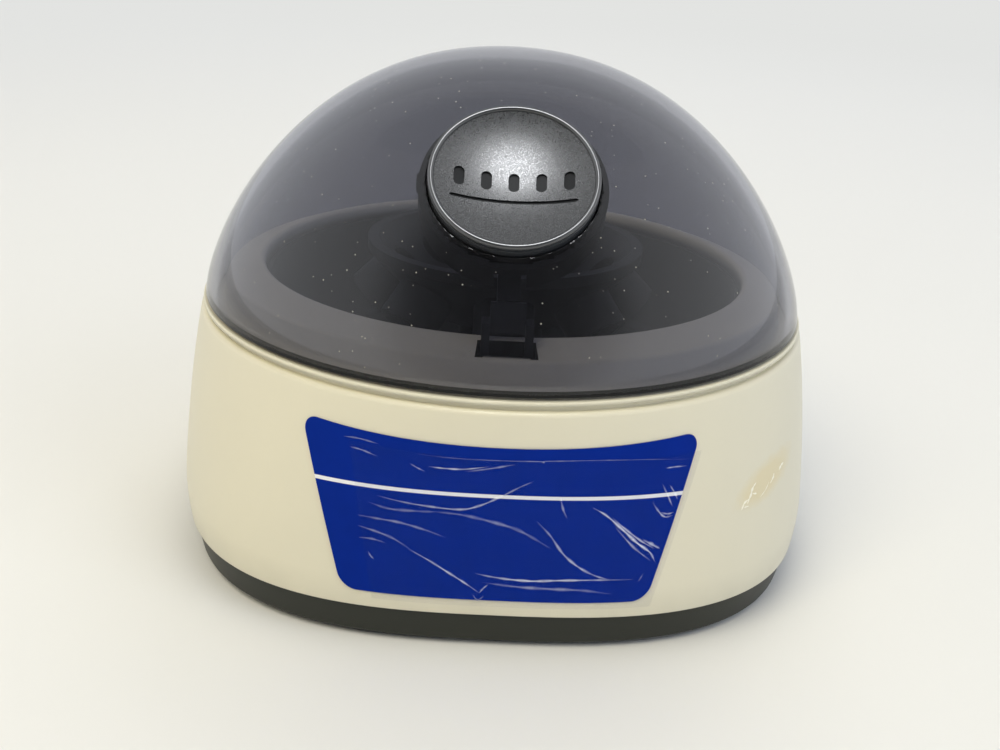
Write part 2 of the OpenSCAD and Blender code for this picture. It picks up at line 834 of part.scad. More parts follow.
module lid_switch() {
    color("#26221f") difference() {
        translate([0, switch_y, switch_top_z - switch_h / 2])
            cube([switch_w, switch_d, switch_h], center = true);
        switch_screw_places() bar_x(switch_screw_r + screw_gap, -switch_w, switch_w, 0, 0);
        translate([plunger_x, switch_y, switch_top_z - plunger_sink - 0.2])
            cylinder(r = plunger_r + running_gap, h = switch_h);
    }
}

module switch_plunger() {
    color("firebrick") translate([plunger_x, switch_y, switch_top_z - plunger_sink])
        cylinder(r = plunger_r, h = plunger_sink + plunger_show);
}

module switch_screws() {
    out = hanger_x + hanger_w;
    color("silver") switch_screw_places() {
        bar_x(switch_screw_r, -out, out, 0, 0);
        bar_x(switch_screw_head.x, out, out + switch_screw_head.y, 0, 0);
    }
}

// Lid

module hinge_pin() {
    reach = knuckle_x + knuckle_w;
    color("lightgray") bar_x(hinge_pin_r, -reach, reach, hinge_y, hinge_z);
}

module lid_dome() {
    color("#3a3a40", 0.5) difference() {
        union() {
            under_dome(0);
            bar_x(lug_r, -lug_half_w, lug_half_w, hinge_y, hinge_z);
            slab(lug_half_w, [
                [lid_r - 8, lid_z + 0.6], [hinge_y, hinge_z - lug_r + 0.6],
                [hinge_y, hinge_z + lug_r], [lid_r - 8, hinge_z + lug_r + 2]]);
        }
        under_dome(dome_wall, lid_z - 1);
        on_button() cylinder(r = guide_r + slide_gap, h = through, center = true);
        bar_x(hinge_pin_r + running_gap, -lid_r, lid_r, hinge_y, hinge_z);
    }
}

module latch_housing() {
    outer_r = guide_r + guide_wall;
    lug = [5.4, 5, 3.2];
    color("#111114") difference() {
        intersection() {
            union() {
                on_button() {
                    translate([0, 0, -guide_depth]) cylinder(r = outer_r, h = guide_depth + 4);
                    translate([-outer_r - lug.x / 2 + 1, 0, -4]) cube(lug, center = true);
                    translate([0, 0, -guide_depth - guide_floor]) cylinder(r = outer_r, h = guide_floor);
                }
                for (side = [1, -1]) slab(ear_w / 2, [
                    button_point(pivot_s - 4, -guide_depth - 1), button_point(pivot_s - 4, pivot_d - 3),
                    button_point(pivot_s + 4, pivot_d - 3), button_point(pivot_s + 4, -guide_depth - 1)],
                    side * (ear_x + ear_w / 2));
            }
            under_dome(dome_wall + film_gap);
        }
        on_button() {
            translate([0, 0, -guide_depth]) cylinder(r = guide_r, h = through);
            // Window for the pusher and the lever's arm
            translate([-arm_half_w - 1, -outer_r - 4, -guide_depth - 3.2])
                cube([2 * arm_half_w + 2, outer_r + 10 - push_s, 6.4]);
        }
        bar_x(latch_pin_r + press_gap, -guide_r, guide_r, pivot.x, pivot.y);
    }
}

module latch_pin() {
    reach = ear_x + ear_w;
    color("lightgray") bar_x(latch_pin_r, -reach, reach, pivot.x, pivot.y);
}

// One unbroken helical wire
function spring_ring(k) =
    let (a = 360 * k / spring_turn_steps, z = mix(spring_from, spring_to, k / spring_steps))
    [for (i = [0 : spring_sides - 1])
        let (b = 360 * i / spring_sides, r = spring_r + spring_wire_r * cos(b))
        [r * cos(a), r * sin(a), z + spring_wire_r * sin(b)]];

module button_spring() {
    last = spring_steps * spring_sides;
    color("silver") on_button() polyhedron(
        points = [for (k = [0 : spring_steps]) each spring_ring(k)],
        faces = [
            for (k = [0 : spring_steps - 1], i = [0 : spring_sides - 1])
                let (j = (i + 1) % spring_sides, p = k * spring_sides, q = p + spring_sides)
                each [[p + i, q + i, q + j], [p + i, q + j, p + j]],
            [for (i = [0 : spring_sides - 1]) i],
            [for (i = [spring_sides - 1 : -1 : 0]) last + i]
        ]);
}

// Button and latch

// Flat shapes of the marks
module mark_shapes() {
    for (i = [0 : mark_count - 1]) let (x = (i - (mark_count - 1) / 2) * mark_pitch)
        translate([x, mark_y + mark_bow * pow(x / mark_half, 2)]) hull()
            for (end = [1, -1])
                translate([0, end * (mark_size.y - mark_size.x) / 2]) circle(mark_size.x / 2, $fn = 24);
    line = [for (i = [-line_steps : line_steps])
        let (u = i / line_steps) [u * line_half, line_y + line_bow * u * u]];
    polygon(concat(
        [for (p = line) p - [0, line_w / 2]],
        [for (i = [len(line) - 1 : -1 : 0]) line[i] + [0, line_w / 2]]));
}

module press_button() {
    under_z = dish_z - dish_r - button_wall;
    groove_z = rim_rise - bead_r - 0.25;
    push_top = under_z + 0.2;
    push_foot = push_d + 0.3;
    color("#58595a") on_button() {
        difference() {
            rotate_extrude() polygon(concat(
                [for (i = [0 : 10]) let (r = face_r * i / 10) [r, dish_z - sqrt(dish_r * dish_r - r * r)]],
                arc([button_r - bead_r, rim_rise - bead_r], bead_r, 165, 0, 10),
                [[button_r, groove_z], [button_r - bead_groove, groove_z - 0.15],
                 [button_r - bead_groove, groove_z - 0.4], [button_r, groove_z - 0.55],
                 [button_r, -button_skirt], [button_r - button_wall, -button_skirt],
                 [button_r - button_wall, under_z], [0, under_z]]));
            // The marks' floors keep one depth under the dish
            intersection() {
                translate([0, 0, under_z]) linear_extrude(button_wall + bead_r + 4) mark_shapes();
                translate([0, 0, dish_z]) sphere(dish_r + mark_depth);
            }
        }
        translate([0, -push_s, push_top / 2 + push_foot / 2])
            cube([pusher.x, pusher.y, push_top - push_foot], center = true);
    }
}

module latch_lever() {
    elbow = [slot_back_y + 2, block_top_z];
    leg_half = leg_w / 2;
    color("#17181c") difference() {
        union() {
            bar_x(pin_boss_r, -arm_half_w - 0.9, arm_half_w + 0.9, pivot.x, pivot.y);
            // Upper arm under the pusher
            slab(arm_half_w, [
                button_point(push_s - 3, push_d), button_point(push_s - 3, push_d - 2.5),
                button_point(pivot_s, pivot_d - 2.4), button_point(pivot_s + 1, push_d)]);
            // Lower arm and block
            slab(arm_half_w, [
                pivot + [1, 2.4], pivot + [0, -2.6], [elbow.x + 1.5, elbow.y - 4.4], elbow - [1, 0]]);
            slab(block_half_w, [
                [slot_back_y + 2, block_top_z - 0.6], [slot_back_y + 2, block_foot_z],
                [leg_back_y + 0.4, block_foot_z], [leg_back_y + 0.4, leg_top_z + 0.2],
                [slot_back_y - 0.4, block_top_z]]);
            // Two legs with their barbs
            for (side = [1, -1]) slab(leg_half, [
                [slot_back_y + 1, leg_top_z], [leg_front_y, leg_top_z - 0.4], [leg_front_y, leg_foot_z],
                [leg_back_y, leg_foot_z], [barb_tip_y, barb_z - 1.4], [barb_tip_y, barb_z],
                [leg_back_y, barb_z], [leg_back_y, block_foot_z], [slot_back_y + 1, block_foot_z]],
                side * (block_half_w + leg_half));
        }
        bar_x(latch_pin_r + running_gap, -guide_r, guide_r, pivot.x, pivot.y);
    }
}

// Spindle

module motor_shaft() {
    foot_z = shaft_foot_z + 0.3;
    color("lightgray") translate([0, 0, foot_z]) cylinder(r = shaft_r, h = shaft_top_z - foot_z);
}

module shaft_adapter() {
    color("silver") difference() {
        union() {
            translate([0, 0, adapter_z]) cylinder(r = adapter_flange_r, h = rotor_seat_z - adapter_z);
            translate([0, 0, adapter_z]) cylinder(r = adapter_r, h = hub_top_z - 0.5 - adapter_z);
            translate([0, 0, adapter_z]) cylinder(r = stud_r, h = hub_top_z + nut_h - 2 - adapter_z);
        }
        translate([0, 0, adapter_z - 1])
            cylinder(r = shaft_r + press_gap, h = shaft_top_z + 0.1 - adapter_z + 1);
    }
}

// Stands the children on each tube's axis, +Z out of the mouth
module tube_places() {
    for (i = [0 : tube_count - 1]) rotate([0, 0, 360 * i / tube_count])
        translate([tube_ring_r, 0, tube_mouth_z]) rotate([0, -45, 0]) children();
}

module tube_rotor() {
    half = web_half / sqrt(2);
    skin = web_t / sqrt(2);
    dish_in = [tube_ring_r - half, tube_mouth_z - half];
    dish_out = [tube_ring_r + half, tube_mouth_z + half];
    color("#1e2022") difference() {
        union() {
            rotate_extrude() polygon([
                [adapter_r + press_gap, rotor_seat_z], [hub_r + 1, rotor_seat_z],
                [hub_r + 1, dish_in.y - skin], [dish_in.x + skin, dish_in.y - skin],
                [dish_out.x + skin, dish_out.y - skin], [dish_out.x + skin, dish_out.y], dish_out, dish_in,
                [hub_r, dish_in.y], [hub_r, hub_top_z], [adapter_r + press_gap, hub_top_z]]);
            tube_places() translate([0, 0, -tube_sleeve])
                cylinder(r = tube_r + sleeve_wall, h = tube_sleeve - web_t / 2);
        }
        tube_places() cylinder(r = tube_r, h = 2 * through, center = true);
    }
}

module rotor_nut() {
    color("#2f3134") translate([0, 0, hub_top_z]) difference() {
        rotate_extrude() polygon(concat(
            [[stud_r + press_gap, 0], [nut_r, 0]], arc([nut_r - 1.5, nut_h - 1.5], 1.5, 0, 90),
            [[stud_r + press_gap, nut_h]]));
        for (i = [0 : nut_flutes - 1]) rotate([0, 0, 360 * i / nut_flutes])
            translate([nut_r + 0.8, 0, 1.5]) cylinder(r = 1.6, h = nut_h);
    }
}

upper_housing();
base_tray();
rubber_feet();
base_screws();
front_label();
chamber_bowl();
bowl_screws();
shaft_seal();
drive_motor();
motor_plate();
motor_grommets();
plate_screws();
motor_screws();
control_board();
board_components();
board_screws();
power_inlet();
inlet_nut();
switch_frame();
rocker();
lid_switch();
switch_plunger();
switch_screws();
hinge_pin();
lid_dome();
latch_housing();
latch_pin();
button_spring();
press_button();
latch_lever();
motor_shaft();
shaft_adapter();
tube_rotor();
rotor_nut();
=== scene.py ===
import math

import bmesh
import bpy
import numpy as np
from bpy.props import FloatProperty, FloatVectorProperty, IntProperty, PointerProperty
from bpy.types import Operator, Panel, PropertyGroup
from mathutils import Matrix, Vector


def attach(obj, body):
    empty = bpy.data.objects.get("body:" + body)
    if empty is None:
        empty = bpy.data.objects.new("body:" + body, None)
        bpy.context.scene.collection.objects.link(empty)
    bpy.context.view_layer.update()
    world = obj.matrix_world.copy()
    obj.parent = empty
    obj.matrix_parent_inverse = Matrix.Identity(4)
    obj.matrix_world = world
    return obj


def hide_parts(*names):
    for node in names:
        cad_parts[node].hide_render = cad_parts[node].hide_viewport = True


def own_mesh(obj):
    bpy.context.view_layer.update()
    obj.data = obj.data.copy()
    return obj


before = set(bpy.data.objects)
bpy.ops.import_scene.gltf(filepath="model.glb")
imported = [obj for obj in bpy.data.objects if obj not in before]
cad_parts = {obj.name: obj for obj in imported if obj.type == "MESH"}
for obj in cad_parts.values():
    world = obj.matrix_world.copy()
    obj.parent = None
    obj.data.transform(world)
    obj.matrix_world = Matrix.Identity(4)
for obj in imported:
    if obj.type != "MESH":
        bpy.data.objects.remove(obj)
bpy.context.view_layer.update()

bl_info = {
    "name": "Bench Microcentrifuge",
    "version": (1, 0, 0),
    "blender": (4, 5, 0),
    "location": "3D View > Sidebar > Centrifuge",
    "description": "Finished pieces, materials and stage of a bench microcentrifuge",
    "category": "Object",
}

MM = 0.001
# Points round the large lofted and turned pieces
ROUND = 256
# Edges that turn more than this are bevelled, or shaded as edges
SHARP = math.radians(34)
# Points nearer than this are one point: built ones, those of node trees, and those of CAD nodes
SAME = 1e-7
SAME_GROWN = 1e-6
SAME_CAD = 2e-6


def linear(code):
    """Linear RGB of an sRGB hex colour."""
    parts = [int(code[i:i + 2], 16) / 255 for i in (0, 2, 4)]
    return [c / 12.92 if c <= 0.04045 else ((c + 0.055) / 1.055) ** 2.4 for c in parts]


def length(label, words, millimetres):
    """A length property whose default is given in millimetres."""
    return FloatProperty(name=label, description=words, default=millimetres * MM, unit="LENGTH", precision=5)


def tint(label, words, code):
    """A colour property whose default is an sRGB hex value."""
    return FloatVectorProperty(name=label, description=words, subtype="COLOR", size=3, min=0, max=1,
                               default=linear(code))


class CentrifugeSizes(PropertyGroup):
    """Sizes of the finished pieces, the same as the solids they stand for."""

    body_width: length("Body width", "Width of the housing where it is widest", 160)
    front_reach: length("Front reach", "Rotor axis to the front of the housing", 79.3)
    rear_reach: length("Rear reach", "Rotor axis to the back of the housing", 88)
    seam_height: length("Seam height", "Parting line between tray and housing", 9)
    seam_tuck: length("Seam tuck", "How far each side comes in at the parting line", 1.6)
    lip_height: length("Lip height", "Top of the housing's lip", 57)
    lip_radius: length("Lip radius", "Radius of the lip round the lid", 77)
    corner_fullness: FloatProperty(name="Corner fullness", description="How square the plan is at the seam",
                                   default=2.78, min=2, max=4)
    rear_fullness: FloatProperty(name="Rear fullness", default=2.6, min=2, max=4,
                                 description="How square the back corners are at the lip")
    wall: length("Wall", "Wall of the housing and the tray", 2.4)
    deck_radius: length("Deck radius", "Outer edge of the raised deck", 70.2)
    deck_height: length("Deck height", "Deck at the bowl opening", 68.6)
    bowl_radius: length("Bowl radius", "Bowl opening in the deck", 61)
    lid_radius: length("Lid radius", "Outer radius of the lid's rim", 76)
    lid_height: length("Lid height", "Lower edge of the lid's rim", 60.1)
    dome_rise: length("Dome rise", "Height of the dome over its rim", 61.2)
    dome_side: FloatProperty(name="Dome side", description="Fullness of the dome towards its side",
                             default=2.185, min=1.5, max=3)
    dome_top: FloatProperty(name="Dome top", description="Fullness of the dome towards its top",
                            default=1.48, min=1.2, max=3)
    dome_wall: length("Dome wall", "Thickness of the clear wall", 2.6)
    button_radius: length("Button radius", "Outer radius of the press button", 18.9)
    button_tilt: FloatProperty(name="Button tilt", description="Button axis above the horizontal",
                               default=math.radians(48.8), subtype="ANGLE")
    dish_radius: length("Dish radius", "Radius of the finger dish", 50)
    label_top: length("Label top", "Half width of the label at its top", 44)
    label_foot: length("Label foot", "Half width of the label at its foot", 34)
    mark_count: IntProperty(name="Finger marks", description="Sunk bars across the button",
                            default=5, min=0, max=9)


class CentrifugeColours(PropertyGroup):
    """Colours of the finishes."""

    ivory: tint("Ivory", "Housing", "DBD6C2")
    tray_grey: tint("Tray grey", "Base tray", "2C2E29")
    label_blue: tint("Label blue", "Printed film on the front", "032688")
    print_white: tint("Print white", "Line on the label", "E9EAF0")
    smoke: tint("Smoke", "What one wall of the lid lets through", "8E8F99")
    button_grey: tint("Button grey", "Press button", "17191B")
    floor: tint("Floor", "Studio floor", "E6E6E4")


def sizes():
    return bpy.context.scene.centrifuge_sizes


def colours():
    return bpy.context.scene.centrifuge_colours


# Meshes

def link(name, mesh):
    """A new object in the scene."""
    obj = bpy.data.objects.new(name, mesh)
    bpy.context.scene.collection.objects.link(obj)
    return obj


def solid(name, points, faces, **values):
    """An object from points, faces and values at the points, with doubles merged and normals outwards."""
    mesh = bpy.data.meshes.new(name)
    mesh.from_pydata([tuple(map(float, p)) for p in points], [], faces)
    for key, numbers in values.items():
        mesh.attributes.new(key, "FLOAT", "POINT").data.foreach_set("value", numbers)
    bm = bmesh.new()
    bm.from_mesh(mesh)
    bmesh.ops.remove_doubles(bm, verts=bm.verts, dist=SAME)
    bmesh.ops.dissolve_degenerate(bm, edges=bm.edges, dist=SAME / 10)
    bmesh.ops.delete(bm, geom=[e for e in bm.edges if not e.link_faces], context="EDGES")
    bmesh.ops.recalc_face_normals(bm, faces=bm.faces)
    bm.to_mesh(mesh)
    bm.free()
    return link(name, mesh)


def lofted(name, rings, capped):
    """Rings of equal length skinned in order: closed on itself, or capped at both ends."""
    count, n = len(rings), len(rings[0])
    pairs = [(k, k + 1) for k in range(count - 1)] + ([] if capped else [(count - 1, 0)])
    faces = [(a * n + i, a * n + (i + 1) % n, b * n + (i + 1) % n, b * n + i)
             for a, b in pairs for i in range(n)]
    if capped:
        faces += [tuple(range(n))[::-1], tuple(range((count - 1) * n, count * n))]
    return solid(name, np.concatenate(rings), faces)


def turned(name, profile, steps=ROUND, place=None):
    """A closed profile of radius and height turned about Z, then put in its place."""
    turn = np.arange(steps) * 2 * math.pi / steps
    rings = [np.stack([r * np.cos(turn), r * np.sin(turn), np.full(steps, z)], 1) for r, z in profile]
    obj = lofted(name, rings, capped=False)
    if place is not None:
        obj.data.transform(place)
    return obj


def arc(centre, radius, start, end, steps=8):
    """Points of an arc in a profile, from one angle in degrees to another."""
    turn = np.radians(np.linspace(start, end, steps + 1))
    return [(centre[0] + radius * math.cos(a), centre[1] + radius * math.sin(a)) for a in turn]


def prism(name, outline, depth, place):
    """A flat outline given a depth along Z, then put in its place."""
    rings = [np.array([(x, y, z) for x, y in outline]) for z in (0.0, depth)]
    obj = lofted(name, rings, capped=True)
    obj.data.transform(place)
    return obj


def rounded(width, height, radius, steps=6):
    """Outline of a rectangle with round corners, about the origin."""
    x, y = width / 2 - radius, height / 2 - radius
    corners = ((x, y, 0), (-x, y, 90), (-x, -y, 180), (x, -y, 270))
    return [p for cx, cy, a in corners for p in arc((cx, cy), radius, a, a + 90, steps)]


def circle(radius, degrees):
    """Places on a circle about Z, at angles in degrees."""
    return [(radius * math.cos(a), radius * math.sin(a)) for a in np.radians(degrees)]


def rod(name, radius, start, end, steps=64):
    """A plain round tool between two points."""
    start, end = Vector(start), Vector(end)
    turn = (end - start).to_track_quat("Z", "Y").to_matrix().to_4x4()
    outline = circle(radius, np.arange(steps) * 360 / steps)
    return prism(name, outline, (end - start).length, Matrix.Translation(start) @ turn)


def uprights(name, radius, places, low, high, steps=24):
    """Round tools that stand along Z, one at each place."""
    return [rod(name, radius, (x, y, low), (x, y, high), steps) for x, y in places]


def block(name, low, high):
    """A plain square tool between two corners."""
    middle, half = (Vector(low) + Vector(high)) / 2, (Vector(high) - Vector(low)) / 2
    outline = [(half.x, half.y), (-half.x, half.y), (-half.x, -half.y), (half.x, -half.y)]
    return prism(name, outline, 2 * half.z, Matrix.Translation((middle.x, middle.y, low[2])))


def settle(obj):
    """Makes the result of the modifiers the object's own mesh."""
    graph = bpy.context.evaluated_depsgraph_get()
    made = obj.evaluated_get(graph)
    mesh = bpy.data.meshes.new_from_object(made, preserve_all_data_layers=True, depsgraph=graph)
    obj.modifiers.clear()
    obj.data = mesh
    return obj


def carve(obj, operation, *tools):
    """Joins tools to a piece or cuts them out of it."""
    for tool in tools:
        step = obj.modifiers.new("carve", "BOOLEAN")
        step.operation = operation
        step.solver = "MANIFOLD"
        step.object = tool
    settle(obj)
    if not obj.data.polygons:
        raise RuntimeError("nothing is left of " + obj.name)
    for tool in tools:
        bpy.data.objects.remove(tool)
    return obj


def soften(obj, bevel=0.0, segments=2):
    """Small round edges where the piece is sharp, and smooth shading over the rest."""
    obj.data.polygons.foreach_set("use_smooth", [True] * len(obj.data.polygons))
    if bevel:
        edge = obj.modifiers.new("edge", "BEVEL")
        edge.width = bevel
        edge.segments = segments
        edge.limit_method = "ANGLE"
        edge.angle_limit = SHARP
        edge.harden_normals = False
        settle(obj)
    obj.data.set_sharp_from_angle(angle=SHARP)
    even = obj.modifiers.new("even", "WEIGHTED_NORMAL")
    even.keep_sharp = True
    return settle(obj)


def refined(node, bevel):
    """A merged copy of a CAD node with softened edges."""
    flat = math.radians(0.4)
    bm = bmesh.new()
    bm.from_mesh(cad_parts[node].data)
    bmesh.ops.remove_doubles(bm, verts=bm.verts, dist=SAME_CAD)
    bmesh.ops.dissolve_limit(bm, angle_limit=flat, verts=bm.verts, edges=bm.edges)
    mesh = bpy.data.meshes.new(node)
    bm.to_mesh(mesh)
    bm.free()
    return soften(link(node + "_finish", mesh), bevel)


def finish_piece(obj, material, body, slot, *nodes):
    """Gives a piece its finish and its body, and hides the CAD nodes it stands for."""
    if material:
        obj.data.materials.clear()
        obj.data.materials.append(material)
    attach(obj, body)
    if nodes:
        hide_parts(*nodes)
    return obj


def finish_nodes(*rows):
    """Finishes merged copies of CAD nodes: each node with its bevel in millimetres, finish, body and slot."""
    return [finish_piece(refined(node, bevel * MM), finish(coat), body, slot, node)
            for node, bevel, coat, body, slot in rows]


def accent(obj, coat, picks):
    """Gives one more finish to the faces that a test picks."""
    obj.data.materials.append(finish(coat))
    last = len(obj.data.materials) - 1
    for face in obj.data.polygons:
        if picks(face):
            face.material_index = last


# Nodes

def add(tree, kind, inputs=(), **settings):
    """Adds a node with its settings, and sets or links its inputs, given in order or by name or identifier.

    A node stands for its first output that is in use, and a list links each of its items.
    """
    made = tree.nodes.new(kind)
    for key, value in settings.items():
        setattr(made, key, value)
    for key, value in inputs.items() if isinstance(inputs, dict) else enumerate(inputs):
        socket = next(s for i, s in enumerate(made.inputs) if key in (i, s.identifier, s.name))
        for item in value if isinstance(value, list) else [value]:
            if isinstance(item, bpy.types.Node):
                item = next(s for s in item.outputs if s.enabled)
            if isinstance(item, bpy.types.NodeSocket):
                tree.links.new(item, socket)
            else:
                socket.default_value = item
    return made


def shading(name):
    """A new material's tree and its object coordinates."""
    material = bpy.data.materials.new(name)
    material.use_nodes = True
    tree = material.node_tree
    tree.nodes.clear()
    return material, tree, add(tree, "ShaderNodeTexCoord").outputs["Object"]


def per(width):
    """Scale of a pattern that repeats in a width in millimetres."""
    return 1 / (width * MM)


def rgba(colour):
    return (*colour, 1.0)


def shade_of(colour, factor):
    return rgba([min(1.0, c * factor) for c in colour])


def moulded(name, colour, rough, grain, depth, blotch=0.05, shine=0.5):
    """Moulded plastic: a fine spark-eroded grain in the mould, slightly uneven gloss and faint clouding.

    Grain is the grain's width and depth its height, both in millimetres. Real grain is about 0.1 mm wide,
    so it is drawn coarser, to show. Polished pieces have a wide and faint waviness in its place.
    """
    material, tree, coords = shading(name)
    cloud = add(tree, "ShaderNodeTexNoise", {"Vector": coords, "Scale": per(22), "Detail": 4.0})
    tone = add(tree, "ShaderNodeMix", {
        "Factor_Float": cloud, "A_Color": shade_of(colour, 1 - blotch),
        "B_Color": shade_of(colour, 1 + blotch)}, data_type="RGBA")
    fine = add(tree, "ShaderNodeTexNoise", {"Vector": coords, "Scale": per(grain), "Detail": 2.0})
    gloss = add(tree, "ShaderNodeMapRange", {
        "Value": cloud, "To Min": rough - 0.07, "To Max": rough + 0.07})
    bump = add(tree, "ShaderNodeBump", {"Height": fine, "Distance": depth * MM, "Strength": 0.6})
    shader = add(tree, "ShaderNodeBsdfPrincipled", {
        "Base Color": tone, "Roughness": gloss, "Normal": bump, "IOR": 1.53, "Specular IOR Level": shine})
    add(tree, "ShaderNodeOutputMaterial", {"Surface": shader})
    return material


def metal(name, colour, rough, stretch, depth=0.004):
    """Machined or plated metal: fine lines along one axis from the tool or the drawing die."""
    material, tree, coords = shading(name)
    # Real lines are less than 0.1 mm apart: drawn a few times as wide, so that they show
    lay = add(tree, "ShaderNodeMapping", {"Vector": coords, "Scale": stretch})
    lines = add(tree, "ShaderNodeTexNoise", {"Vector": lay, "Scale": per(0.35), "Detail": 3.0})
    gloss = add(tree, "ShaderNodeMapRange", {"Value": lines, "To Min": rough - 0.1, "To Max": rough + 0.14})
    tone = add(tree, "ShaderNodeMix", {
        "Factor_Float": lines, "A_Color": shade_of(colour, 0.86), "B_Color": shade_of(colour, 1.08)},
        data_type="RGBA")
    bump = add(tree, "ShaderNodeBump", {"Height": lines, "Distance": depth * MM, "Strength": 0.5})
    shader = add(tree, "ShaderNodeBsdfPrincipled", {
        "Base Color": tone, "Metallic": 1.0, "Roughness": gloss, "Normal": bump})
    add(tree, "ShaderNodeOutputMaterial", {"Surface": shader})
    return material


FINISHES = {}


def finish(name):
    """A shared finish by name, made the first time that it is asked for."""
    if name not in FINISHES:
        FINISHES[name] = RECIPES[name]()
    return FINISHES[name]


def ivory_abs():
    """Moulded ivory ABS, satin, a little yellowed, with dried adhesive on the right of the front."""
    material, tree, coords = shading("ivory_abs_moulded")
    ivory = colours().ivory
    cloud = add(tree, "ShaderNodeTexNoise", {
        "Vector": coords, "Scale": per(36), "Detail": 5.0, "Roughness": 0.6})
    open_side = add(tree, "ShaderNodeMix", {
        "Factor_Float": cloud, "A_Color": shade_of(ivory, 0.95), "B_Color": shade_of(ivory, 1.04)},
        data_type="RGBA")
    # Painted light: under the lid the plastic is painted paler and cooler, to stand in for the bright,
    # blue-grey look of the deck through the smoked dome
    flat = add(tree, "ShaderNodeVectorMath", (coords, (1, 1, 0)), operation="MULTIPLY")
    reach = add(tree, "ShaderNodeVectorMath", (flat,), operation="LENGTH")
    painted_light_under_lid = add(tree, "ShaderNodeMapRange", {
        "Value": reach, "From Min": 74 * MM, "From Max": 75 * MM, "To Min": 1.0, "To Max": 0.0})
    base = add(tree, "ShaderNodeMix", {
        "Factor_Float": painted_light_under_lid, "A_Color": open_side,
        "B_Color": rgba(linear("E0DDD8"))}, data_type="RGBA")
    # A noisy band low over the seam is darker
    parts = add(tree, "ShaderNodeSeparateXYZ", {"Vector": coords})
    low = add(tree, "ShaderNodeMapRange", {
        "Value": parts.outputs["Z"], "From Min": 9 * MM, "From Max": 16 * MM, "To Min": 1.0, "To Max": 0.0})
    low_band_noise = add(tree, "ShaderNodeTexNoise", {"Vector": coords, "Scale": per(8), "Detail": 6.0})
    low_band_darkening = add(tree, "ShaderNodeMath", (low, low_band_noise), operation="MULTIPLY")
    low_band_darkened = add(tree, "ShaderNodeMix", {
        "Factor_Float": low_band_darkening, "A_Color": base, "B_Color": shade_of(ivory, 0.8)}, data_type="RGBA")
    # Dried adhesive: a faint yellow streak that rises to the right
    patch = add(tree, "ShaderNodeMapping", {
        "Vector": coords, "Location": (62.5 * MM, -54 * MM, 34.2 * MM), "Rotation": (0, math.radians(-22), 0),
        "Scale": (10.5 * MM, 26 * MM, 4.8 * MM)}, vector_type="TEXTURE")
    spread = add(tree, "ShaderNodeVectorMath", (patch,), operation="LENGTH")
    fleck = add(tree, "ShaderNodeTexNoise", {
        "Vector": coords, "Scale": per(3), "Detail": 5.0, "Roughness": 0.65})
    ragged = add(tree, "ShaderNodeMath", (fleck, 0.5, spread), operation="MULTIPLY_ADD")
    streak = add(tree, "ShaderNodeMapRange", {
        "Value": ragged, "From Min": 0.75, "From Max": 1.25, "To Min": 1.0, "To Max": 0.0})
    aged = add(tree, "ShaderNodeMix", {
        "Factor_Float": streak, "A_Color": low_band_darkened, "B_Color": rgba(linear("DACFAE"))}, data_type="RGBA")
    # The moulded grain is about 0.1 mm wide: drawn at 0.45 mm, so that it shows
    grain = add(tree, "ShaderNodeTexNoise", {"Vector": coords, "Scale": per(0.45), "Detail": 2.0})
    height = add(tree, "ShaderNodeMath", (streak, 3.0, grain), operation="MULTIPLY_ADD")
    bump = add(tree, "ShaderNodeBump", {"Height": height, "Distance": 0.012 * MM, "Strength": 0.7})
    gloss = add(tree, "ShaderNodeMapRange", {"Value": cloud, "To Min": 0.33, "To Max": 0.5})
    shader = add(tree, "ShaderNodeBsdfPrincipled", {
        "Base Color": aged, "Roughness": gloss, "Normal": bump, "IOR": 1.53})
    add(tree, "ShaderNodeOutputMaterial", {"Surface": shader})
    return material


def smoked_acrylic():
    """Polished smoked acrylic: clear grey, with fine wipe marks and dust that dull its gloss."""
    material, tree, coords = shading("smoked_acrylic_polished")
    wipe = add(tree, "ShaderNodeMapping", {
        "Vector": coords, "Scale": (1.0, 5.0, 2.0), "Rotation": (0.3, 0.5, 0.2)})
    scuff = add(tree, "ShaderNodeTexNoise", {
        "Vector": wipe, "Scale": per(4), "Detail": 6.0, "Roughness": 0.75})
    gloss = add(tree, "ShaderNodeMapRange", {
        "Value": scuff, "From Min": 0.5, "From Max": 0.8, "To Min": 0.01, "To Max": 0.03})
    # Dust: separate specks a third of a millimetre wide
    cell = add(tree, "ShaderNodeTexVoronoi", {"Vector": coords, "Scale": per(2.5), "Randomness": 1.0})
    speck = add(tree, "ShaderNodeMapRange", {
        "Value": cell, "From Min": 0.05, "From Max": 0.085, "To Min": 1.0, "To Max": 0.0})
    pick = add(tree, "ShaderNodeSeparateColor", {"Color": cell.outputs["Color"]})
    some = add(tree, "ShaderNodeMath", (pick.outputs["Red"], 0.5), operation="GREATER_THAN")
    dust = add(tree, "ShaderNodeMath", (speck, some), operation="MULTIPLY")
    clear = add(tree, "ShaderNodeBsdfPrincipled", {
        "Base Color": rgba(colours().smoke), "Roughness": gloss, "IOR": 1.49, "Transmission Weight": 1.0})
    fleck = add(tree, "ShaderNodeBsdfDiffuse", {"Color": rgba(linear("A3A19B"))})
    worn = add(tree, "ShaderNodeMixShader", {"Fac": dust, "Shader": clear, "Shader_001": fleck})
    # Lamps shine through almost unweakened, so that the chamber is lit
    path = add(tree, "ShaderNodeLightPath")
    lamp = add(tree, "ShaderNodeBsdfTransparent", {"Color": rgba([c ** 0.05 for c in colours().smoke])})
    both = add(tree, "ShaderNodeMixShader", {
        "Fac": path.outputs["Is Shadow Ray"], "Shader": worn, "Shader_001": lamp})
    add(tree, "ShaderNodeOutputMaterial", {"Surface": both})
    return material


